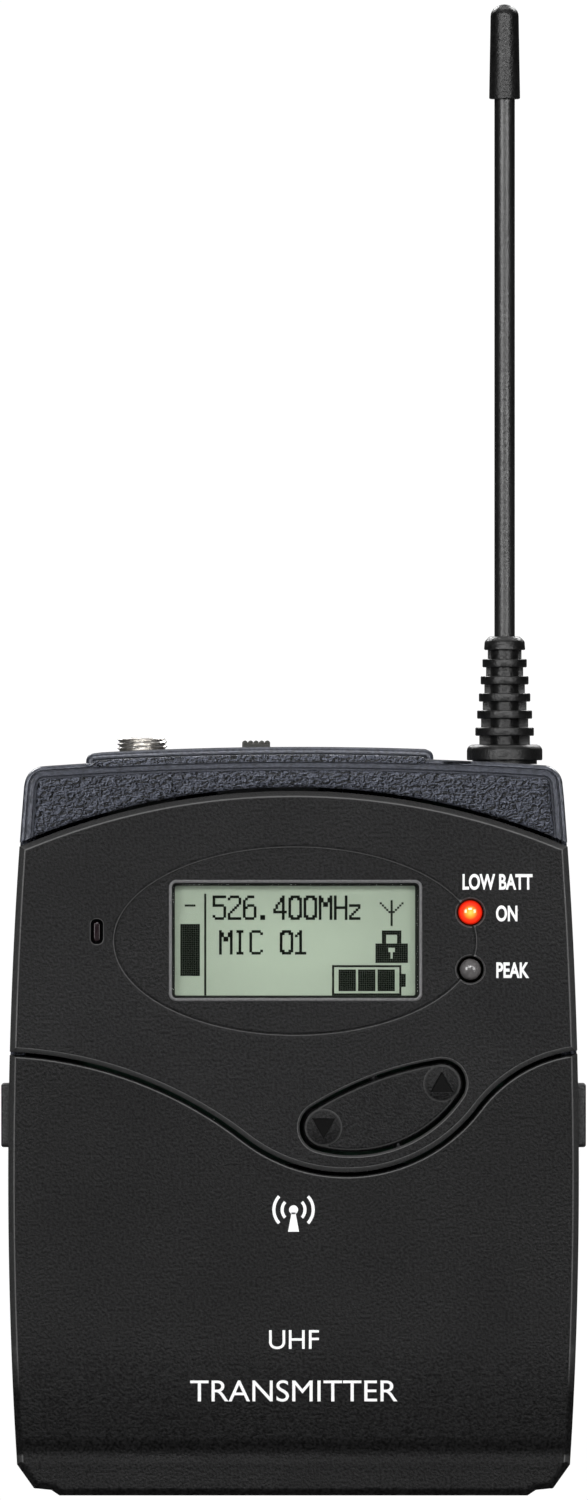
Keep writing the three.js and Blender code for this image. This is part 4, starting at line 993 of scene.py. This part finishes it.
def radio_mark(x, z):
    """A small aerial with radio waves to both sides of it."""
    waves = [rod("Y", 0.5, 0, 1, (x, 0, z + 0.3), 0, 24)]
    waves.append(prism([(x - 0.6, z - 2.1), (x + 0.6, z - 2.1), (x + 0.22, z), (x - 0.22, z)], 0, 1))
    for r in (1.25, 2.15):
        for middle in (0, math.pi):
            outer = arc(x, z + 0.3, r + 0.17, middle - 0.75, middle + 0.75, 14)
            inner = arc(x, z + 0.3, r - 0.17, middle + 0.75, middle - 0.75, 14)
            waves.append(prism(outer + inner, 0, 1))
    mark = gather(waves)
    mark.transform(Matrix.Translation((0, FRONT - 0.008, 0)) @ Matrix.Diagonal((1, 0.008, 1, 1)))
    piece("print_radio_mark", mark, white_print, body="battery_cover")


def rocker():
    """The key: a rounded body, a domed pad at each end, and a sunk arrow in each pad."""
    legs = [along_rocker(rod("Y", 1.2, -10.5, -6.35, (s * ROCKER_HALF, 0, 0))) for s in (-1, 1)]
    lug = along_rocker(block(-1.6, 1.6, -10.5, -6.8, -2.6, 2.2))
    body = prism(rocker_outline(), -11.78, -9.6, rounded(0.5, 6))
    dome_r, dome_y = 6.6, -12.13
    pad = [(r, dome_r + dome_y - math.sqrt(dome_r**2 - r**2)) for r in (0, 0.5, 1.0, 1.4, 1.7, 1.95)]
    pad += [(2.06, -11.76), (2.1, -11.6), (2.1, -11), (0, -11)]
    pads = []
    arrows = []
    for s in (-1, 1):
        cx, cz = rocker_frame(s * ROCKER_HALF, 0)
        pads.append(lathe(pad, "Y", (cx, 0, cz), 48))
        arrow = [(-1.3 * s, -1.0 * s), (1.3 * s, -1.0 * s), (0.0, 1.3 * s)]
        arrows.append(
            opening([(cx + a, cz + b) for a, b in arrow], -12.15, -11.7, [(0.14, 0.0), (0.0, 0.14)])
        )
        # Each arrow's floor is a near-black, dull sheet: painted shade that makes the sunk arrow read dark.
        floor_outline = [(cx + 0.93 * a, cz + 0.93 * b) for a, b in arrow]
        name = "rocker_arrow_down" if s < 0 else "rocker_arrow_up"
        piece(
            name, prism(floor_outline, -11.76, -11.705), arrow_floor_shade,
            body="rocker_button"
        )
    bore = along_rocker(rod("Z", 0.9, -4, 4, (0, -8.0, 0)))
    knob = combine(body, add=[*legs, lug, *pads], cut=[*arrows, bore])
    piece("rocker_key", knob, pad_plastic, ["rocker_button"], body="rocker_button")


# ------------------------------------------------------------------ top fittings and antenna
def jack():
    """A collar with a helical thread, a bevelled mouth and two small notches for a spanner."""
    pitch, crest_r, root_r, sides = 0.467, 2.78, 2.46, 96
    heights = [80.4 + 0.045 * i for i in range(53)]
    bm = bmesh.new()

    def ring(z, radius):
        angles = [2 * math.pi * i / sides for i in range(sides)]
        return [bm.verts.new((JACK_X + radius(a) * math.cos(a), radius(a) * math.sin(a), z)) for a in angles]

    def thread(z):
        return lambda a: crest_r - (crest_r - root_r) * 2 * abs((z / pitch - a / (2 * math.pi)) % 1 - 0.5)

    rows = [ring(77.2, lambda a: 1.8), ring(77.2, lambda a: 2.3), ring(80.3, lambda a: 2.3)]
    rows += [ring(z, thread(z)) for z in heights]
    rows += [ring(z, lambda a, r=r: r) for r, z in ((2.5, 82.8), (2.4, 82.88), (2.0, 82.9), (1.8, 82.7))]
    for low, high in zip(rows, rows[1:] + rows[:1]):
        for i in range(sides):
            j = (i + 1) % sides
            bm.faces.new((low[i], low[j], high[j], high[i]))
    notch = block(JACK_X - 3, JACK_X + 3, -0.4, 0.4, 82.6, 84)
    piece("jack_collar", combine(finish_mesh(bm), cut=[notch]), nickel, ["jack_bushing"], sharp=24)


def mute_slider():
    ridges = 5
    pitch = (MUTE_X1 - MUTE_X0) / ridges
    top = 82.6 - pitch / 2
    points = [(MUTE_X0, 79.2), (MUTE_X1, 79.2)]
    for i in reversed(range(ridges)):
        points += arc(MUTE_X0 + pitch * (i + 0.5), top, pitch / 2, 0.12, math.pi - 0.12, 8)
    knob = prism(points, -1.6, 1.6, rounded(0.12, 3), rounded(0.12, 3))
    flange = block(-8.2, 0.2, -2.4, 2.4, 78.6, 79.6)
    piece(
        "mute_knob", combine(knob, add=[flange]), slider_plastic, ["mute_slider"],
        body="mute_slider"
    )


def antenna():
    at = (ANTENNA_X, 0, 0)
    foot = [
        (0, 74), (2.9, 74), (2.9, 80.0), (3.55, 80.0), (3.55, 80.42), (4.05, 80.42), (4.15, 80.52),
        (4.15, 81.45)
    ]
    foot += arc(3.45, 81.45, 0.7, 0, math.pi / 2, 6)[1:]
    foot += [(0, 82.2)]
    piece("antenna_foot", lathe(foot, "Z", at, 72), rubber, ["antenna_base"])
    rings = 6
    pitch, height = 1.88, 0.92
    tiers = []
    for i in range(rings - 1):
        z = 83.1 + i * pitch
        r = 3.22 - 0.196 * i
        edge = rounded(0.12, 3)
        low_rim = [(r - a, z + b) for a, b in edge]
        high_rim = [(r - a, z + height - b) for a, b in reversed(edge)]
        tiers.append(lathe([(1.45, z), *low_rim, *high_rim, (1.45, z + height)], "Z", at, 56))
    collar = [(1.45, 92.52), (2.16, 92.52), (2.26, 92.62), (2.2, 93.4)]
    collar += [(2.12, 93.55), (1.74, 93.95), (1.6, 94), (1.45, 94)]
    tiers.append(lathe(collar, "Z", at, 56))
    tiers += [
        spoke_tier(2.78 - 0.185 * i, 83.9 + pitch * (i - 1), 83.2 + pitch * i) for i in range(1, rings)
    ]
    boot = combine(spoke_tier(2.78, 82.1, 83.2), add=tiers, cut=[rod("Z", 1.4, 80, 96, at)])
    piece("antenna_sleeve", boot, rubber, ["antenna_boot"])
    piece(
        "antenna_rod", rod("Z", 1.125, 82.8, 160.6, at, 0.1, 40), whip_rubber, ["antenna_whip"],
    )
    tip = [
        (0, 160.9), (1.425, 160.9), (1.425, 153), (1.55, 153), (1.68, 153.06), (1.7, 153.2), (1.55, 162.1)
    ]
    angles = [math.pi / 14 * i for i in range(1, 7)]
    tip += [(1.55 * math.cos(a), 162.1 + 1.3 * math.sin(a)) for a in angles]
    piece("antenna_cap", lathe(tip + [(0, 163.4)], "Z", at, 48), rubber, ["antenna_tip"])


def spoke_tier(r, z0, z1):
    """A thin core with four webs that stand out to radius r."""
    points = []
    steps = 240
    web_half, web_depth, core_r = 0.44, 1.4, 1.55
    for i in range(steps):
        a = 2 * math.pi * i / steps
        quarter = (a + math.pi / 4) % (math.pi / 2) - math.pi / 4
        reach = r if abs(r * math.sin(quarter)) < web_half else max(r - web_depth, core_r)
        points.append((reach * math.cos(a), reach * math.sin(a)))
    return loft([[(ANTENNA_X + x, y, z) for x, y in points] for z in (z0, z1)])


# ------------------------------------------------------------------ catches, hinge, contacts
def mirrored(mesh, side):
    """The mesh as it is for the right side, or its mirror image for the left."""
    return moved(mesh, Matrix.Scale(side, 4, (1, 0, 0))) if side < 0 else mesh


def catches():
    for name, side in SIDES:
        body = f"release_catch_{name}"
        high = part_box("release_catch_right")[1] / MM
        key = sideways(box_outline(-10.1, -5.7, 38.1, 45.1, 0.5), 28.6, high.x, rounded(0.28, 4))
        more = [block(28.2, 29.15, -10.1, -5, 37.3, 45.8), block(27.4, 28.3, -6, -1.8, 39.6, 43.6)]
        more.append(rod("X", 0.7, 26.6, 28.4, (0, CATCH_Y, CATCH_Z), 0.1))
        piece(
            f"catch_{name}_key", mirrored(combine(key, add=more), side), key_plastic, [body],
            body=body
        )
        spring = helix(1.05, 1.05, (25.5, CATCH_Y, CATCH_Z), 2.4, 5, 0.18)
        piece(
            f"catch_{name}_spring", mirrored(spring, side), spring_steel, [f"catch_spring_{name}"],
            body=body
        )


def hinge_and_chargers():
    for name, side in SIDES:
        pin = rod("X", 0.55, 21, 28.2, (0, HINGE_Y, HINGE_Z), 0.1)
        piece(f"hinge_rod_{name}", mirrored(pin, side), spring_steel, [f"hinge_pin_{name}"])
        profile = [(0, 29.3), (1.55, 29.3), (1.55, 30.4), (1.47, 30.54), (1.3, 30.6)]
        profile += [(0.9, 30.6), (0.6, 30.45), (0, 30.4)]
        stud = mirrored(lathe(profile, "X", (0, CHARGER_Y, CHARGER_Z)), side)
        piece(f"charger_stud_{name}", stud, gold, [f"charging_contact_{name}"])


# ------------------------------------------------------------------ behind the cover
def tray_rib(x):
    """An upright rib across the back of the bay, hollowed for both cells."""
    rib = block(x - 0.6, x + 0.6, 1, BAY_BACK + 0.5, BAY_Z + 0.4, DECK_Z + 0.5)
    beds = [rod("X", 7.4, -BAY_HALF, BAY_HALF, (0, CELL_Y, z), 0.0, 64) for z in (CELL_LOW_Z, CELL_HIGH_Z)]
    return combine(rib, cut=beds)


def battery_tray():
    """A deck under the curved seam, and below it an open bay with ribs that hold two cells."""
    x, z0, z1, y0, y1 = BAY_HALF, BAY_Z, DECK_Z, BAY_FRONT, BAY_BACK
    deck = block(-DECK_HALF, DECK_HALF, DECK_FRONT, -7.6, z1, 60)
    deck = combine(deck, keep=[prism(cover_outline(-0.8), -12, 12)])
    walls = [
        block(-x - 1, x + 1, y1, y1 + 1.2, z0, z1 + 1, 0.2),
        block(-x - 1, -x, y0, y1 + 0.6, z0, z1 + 0.5, 0.2),
        block(x, x + 1, y0, y1 + 0.6, z0, z1 + 0.5, 0.2),
        block(-x - 1, x + 1, y0, y1 + 0.6, z1, z1 + 1, 0.2),
        block(-DECK_HALF, DECK_HALF, DECK_FRONT, y0 + 1, z1, z1 + 1, 0.2),
    ]
    ribs = [tray_rib(rib_x) for rib_x in (-18, 0, 18)]
    posts = [rod("Y", 2.4, y1 + 0.5, 8.1, (px, 0, pz)) for px, pz in SCREWS if pz < z1]
    holes = [rod("Y", r + 0.35, -10, -7, (px, 0, pz)) for px, pz, r in (ON_OFF, SET)]
    holes += [rod("Y", 1.45, y1 + 0.2, 9, (px, 0, pz)) for px, pz in SCREWS]
    tray = combine(deck, add=[*walls, *ribs, *posts], cut=holes)
    piece("cell_tray", tray, inner_plastic, ["battery_tray"])
    face = DECK_FRONT - PRINT_DEPTH
    lettering("print_on_off", "ON/OFF", 1.7, -13.6, 40.0, face, "root", 0.02, 0.8)
    lettering("print_set", "SET", 1.6, 18.5, 34.5, face, "root", 0.02, 0.8)


def cells():
    """Two cells, nose to tail, each a wrapped can with a ring round one end, a nub and a base disc."""
    for name, z, side in (("upper", CELL_HIGH_Z, 1), ("lower", CELL_LOW_Z, -1)):
        place = (0, CELL_Y, z)
        r = CELL_R
        can = [
            (0, -23.9), (5.6, -23.9), (5.8, -24), (6.8, -24), (7.05, -23.85), (r, -23.6), (r, 14), (r, 20)
        ]
        can += [(r, 24.5), (7.05, 24.75), (6.8, 24.95), (3.4, 25), (3.2, 24.8), (0, 24.8)]
        can = mirrored(lathe(can, "X", place, 64), side)
        wrap = piece(f"cell_{name}_wrap", can, cell_blue, [f"battery_{name}"])
        coat(wrap, cell_grey, lambda centre, s=side: 14 < s * centre.x < 20)
        nub = [(0, 24.82), (2.75, 24.82), (2.75, 25.6), (2.65, 25.85), (2.4, 26), (0, 26)]
        base = [(0, -23.99), (5.3, -23.99), (5.4, -23.92), (0, -23.92)]
        piece(f"cell_{name}_nub", mirrored(lathe(nub, "X", place, 40), side), nickel)
        piece(f"cell_{name}_base", mirrored(lathe(base, "X", place, 48), side), nickel)
        cone = helix(2.95, 1.85, (-26.05, CELL_Y, z), 1.7, 3.5, 0.22, 28)
        piece(
            f"contact_{name}_spring", mirrored(cone, side), spring_steel, [f"contact_spring_{name}"],
        )


def push_buttons():
    on_off = ("on_off_button", ON_OFF, red_plastic, "red_button")
    setter = ("set_button", SET, grey_plastic, "grey_button")
    for name, (x, z, r), look, slot in (on_off, setter):
        profile = [
            (0, -9.8), (0.55 * r, -9.82), (0.75 * r, -9.92), (0.88 * r, -10), (0.96 * r, -9.95), (r, -9.8)
        ]
        profile += [(r, -7.3), (r + 0.6, -7.3), (r + 0.7, -7.2), (r + 0.7, -6.6), (0, -6.6)]
        piece(name + "_cap", lathe(profile, "Y", (x, 0, z), 56), look, [name], body=name)


def cover_foam():
    piece(
        "cover_foam", block(-12, 12, -10.1, -8.9, 16.4, 21, 0.35), foam, ["cover_pad"],
        body="battery_cover"
    )


# ------------------------------------------------------------------ back
def cross_screw(name, x, z, end, head_y, thick, r, shank, node):
    """A pan-head screw with a cross recess, seen from the back."""
    profile = [(0, end), (0.7 * shank, end), (shank, end + 0.35), (shank, head_y)]
    profile += [(r - 0.08, head_y), (r, head_y + 0.1)]
    low = thick * 0.4
    for i in range(7):
        a = math.pi / 2 * i / 6
        crown_r = r * (0.55 + 0.45 * math.cos(a)) if i < 6 else 0
        profile.append((crown_r, head_y + low + (thick - low) * math.sin(a)))
    arm, half = 0.56 * r, 0.17
    top = head_y + thick
    recess = [block(x - arm, x + arm, top - 0.5, top + 1, z - half, z + half)]
    recess.append(block(x - half, x + half, top - 0.5, top + 1, z - arm, z + arm))
    screw = combine(lathe(profile, "Y", (x, 0, z), 40), cut=recess)
    piece(name, screw, black_steel, [node])


def screws():
    for i, (x, z) in enumerate(SCREWS):
        end = 1.0 if z > WIDEST_Z else 6.1
        cross_screw(f"case_screw_{i + 1}", x, z, end, 10.5, 1.1, 2.15, 1.05, f"housing_screw_{i + 1}")
    for name, side in SIDES:
        cross_screw(
            f"bracket_screw_{name}", side * CLIP_SCREW_X, CLIP_SCREW_Z, 10.6, 13.6, 0.9, 1.9, 1.0,
            f"clip_screw_{name}"
        )


def softened(points, rounds=3):
    """An open line with its corners cut again and again until it is smooth."""
    for _ in range(rounds):
        line = [points[0]]
        for (a0, a1), (b0, b1) in zip(points, points[1:]):
            line.append((0.75 * a0 + 0.25 * b0, 0.75 * a1 + 0.25 * b1))
            line.append((0.25 * a0 + 0.75 * b0, 0.25 * a1 + 0.75 * b1))
        points = line + [points[-1]]
    return points


def beside(line, shift):
    """The open line of (y, z) points moved sideways by shift."""
    moved_line = []
    for i, (y, z) in enumerate(line):
        back, ahead = Vector(line[max(i - 1, 0)]), Vector(line[min(i + 1, len(line) - 1)])
        along = (ahead - back).normalized()
        moved_line.append((y - along.y * shift, z + along.x * shift))
    return moved_line


def clip_strip():
    """A bent strip of sheet steel with a rolled eye that is open at its middle for the spring."""
    half, thick = CLIP_HALF, CLIP_THICK
    line = softened([(17.7, 63), (17.7, 31), (17.2, 27), (15.6, 22), (14.0, 18.5), (13.9, 17), (15.6, 12.5)])
    section = beside(line, -thick / 2) + beside(line, thick / 2)[::-1]
    strip = sideways(section, -half, half, rounded(0.15, 3))
    face = prism(box_outline(-half, half, 12, 70, 4, 10), 10, 20)
    eye = rod("X", BARREL, -half, half, (0, PIN_Y, PIN_Z), 0.15, 48)
    strip = combine(strip, keep=[face])
    cuts = [
        rod("X", 1.3, -20, 20, (0, PIN_Y, PIN_Z)),
        block(-4.6, 4.6, 12, 19, PIN_Z - 2.4, PIN_Z + 3),
        prism(box_outline(-6.5, 6.5, 34, 56, 2.5), 17.98, 19),
    ]
    strip = combine(strip, add=[eye], cut=cuts)
    piece("clip_strip", strip, black_steel, ["belt_clip"], body="belt_clip")


def clip_mount():
    """The bracket with its two lugs, the pin and the coil spring that the clip turns on."""
    outline = box_outline(-BRACKET_HALF, BRACKET_HALF, 58, 71, 1.5, 6)
    base = prism(outline, BACK, BRACKET_BACK, rounded(0.15, 3), rounded(0.2, 3))
    lugs = []
    bores = [rod("X", 1.3, -20, 20, (0, PIN_Y, PIN_Z))]
    for _, side in SIDES:
        x0, x1 = span(side, LUG_X0, LUG_X1)
        lugs.append(rod("X", BARREL, x0, x1, (0, PIN_Y, PIN_Z), 0.12, 48))
        lugs.append(block(x0, x1, 12.5, PIN_Y, PIN_Z - BARREL, PIN_Z + BARREL))
        bores.append(rod("Y", 1.3, 12, 14, (side * CLIP_SCREW_X, 0, CLIP_SCREW_Z)))
    piece("clip_base", combine(base, add=lugs, cut=bores), black_steel, ["clip_bracket"])
    pin = rod("X", 1.0, -13.4, 13.4, (0, PIN_Y, PIN_Z), 0.25, 40)
    piece("clip_rod", pin, spring_steel, ["clip_pin"])
    coil = helix(1.6, 1.6, (-4.2, PIN_Y, PIN_Z), 8.4, 12, 0.28, 24)
    piece("clip_coil", coil, spring_steel, ["clip_spring"])


def dress_inner_nodes():
    """Finishes for the CAD pieces that are kept as they are, nearly all of them out of sight."""
    looks = {
        inner_plastic: ["lcd_frame", "switch_down", "switch_up", "switch_on_off", "switch_set",
                        "board_connector", "jack_body", "mute_switch"],
        circuit_green: ["control_board", "main_board"],
        nickel: ["shield_can", "bridge_contact", "positive_contact", "negative_contact"],
        black_steel: ["rocker_axle"],
        diffuser: ["backlight_panel"],
        smoked: ["infrared_receiver"],
    }
    for look, names in looks.items():
        for name in names:
            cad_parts[name].material_slots[0].material = look


# ------------------------------------------------------------------ stage, light and camera
def floor():
    """A wide pale floor, plain white to the camera, below the lowest point of the open cover."""
    size = 30.0
    bm = bmesh.new()
    bmesh.ops.create_grid(bm, x_segments=1, y_segments=1, size=size)
    mesh = finish_mesh(bm)
    look = Look("floor", (0.08, 0.08, 0.08), 0.9)
    look.tint(look.noise(400.0, 2.0), 0.96, 1.0)
    white = look.node("Emission")
    white.inputs["Strength"].default_value = 1.02
    path = look.node("LightPath")
    mix = look.node("MixShader")
    look.link(path.outputs["Is Camera Ray"], mix.inputs["Fac"])
    look.link(look.shader.outputs["BSDF"], mix.inputs[1])
    look.link(white.outputs["Emission"], mix.inputs[2])
    look.link(mix.outputs["Shader"], look.tree.nodes["Material Output"].inputs["Surface"])
    mesh.materials.append(look.material)
    thing = bpy.data.objects.new("floor", mesh)
    thing.location.z = FLOOR_Z
    bpy.context.scene.collection.objects.link(thing)


def sky():
    """White for the camera; for light and gloss, dim, and a little brighter overhead."""
    world = bpy.data.worlds.new("studio")
    bpy.context.scene.world = world
    world.use_nodes = True
    tree = world.node_tree
    background = tree.nodes["Background"]
    path = tree.nodes.new("ShaderNodeLightPath")
    place = tree.nodes.new("ShaderNodeTexCoord")
    parts = tree.nodes.new("ShaderNodeSeparateXYZ")
    tree.links.new(place.outputs["Generated"], parts.inputs["Vector"])
    rise = tree.nodes.new("ShaderNodeMapRange")
    set_range(rise, 0.25, 1.0, 0.012, 0.35)
    tree.links.new(parts.outputs["Z"], rise.inputs["Value"])
    strength = tree.nodes.new("ShaderNodeMix")
    tree.links.new(path.outputs["Is Camera Ray"], strength.inputs["Factor"])
    tree.links.new(rise.outputs["Result"], strength.inputs["A"])
    strength.inputs["B"].default_value = 1.05
    background.inputs["Color"].default_value = (1, 1, 1, 1)
    tree.links.new(strength.outputs["Result"], background.inputs["Strength"])


def softbox(name, offset_from_middle, width, height, watts):
    """A rectangular light, unseen by the camera, that looks at the middle of the object."""
    middle = Vector((0, 0, 0.07))
    light = bpy.data.lights.new(name, "AREA")
    light.shape = "RECTANGLE"
    light.size, light.size_y = width, height
    light.energy = watts
    thing = bpy.data.objects.new(name, light)
    thing.location = middle + Vector(offset_from_middle)
    direction = middle - thing.location
    thing.rotation_euler = direction.to_track_quat("-Z", "Y").to_euler()
    thing.visible_camera = False
    bpy.context.scene.collection.objects.link(thing)


def lights():
    """Softboxes to the left, right and above the camera's axis, and high ones behind."""
    reach, tilt, lift = 1.2, math.radians(30), math.radians(22)
    side, ahead = reach * math.sin(tilt), -reach * math.cos(tilt)
    softbox("left_light", (-side, ahead, 0.1), 0.35, 0.6, 7.4)
    softbox("right_light", (side, ahead, 0.1), 0.35, 0.6, 6.2)
    softbox("upper_light", (0, -reach * math.cos(lift), reach * math.sin(lift)), 0.5, 0.25, 6.8)
    softbox("top_light", (0, 0.1, 1.1), 0.8, 0.5, 4)
    softbox("rear_left_light", (-0.5, 0.9, 0.8), 0.5, 0.4, 11)
    softbox("rear_right_light", (0.5, 0.9, 0.8), 0.5, 0.4, 9.5)


def camera():
    """A very long lens, level with the middle of the object, so that the view is almost parallel."""
    lens, sensor = 600.0, 36.0
    view_height, view_x, view_z, sharp_y = 164.3, 0.05, 81.55, -6.0
    data = bpy.data.cameras.new("camera")
    data.lens = lens
    data.sensor_width = sensor
    data.clip_end = 40
    thing = bpy.data.objects.new("camera", data)
    distance = view_height * lens / sensor
    thing.location = Vector((view_x, sharp_y - distance, view_z)) * MM
    thing.rotation_euler = (math.pi / 2, 0, 0)
    bpy.context.scene.collection.objects.link(thing)
    bpy.context.scene.camera = thing


front_panel()
battery_cover()
top_cap()
rear_shell()
display()
labels()
rocker()
jack()
mute_slider()
antenna()
catches()
hinge_and_chargers()
battery_tray()
cells()
push_buttons()
cover_foam()
screws()
clip_strip()
clip_mount()
dress_inner_nodes()
floor()
sky()
lights()
camera()
bpy.context.scene.view_settings.view_transform = "Standard"
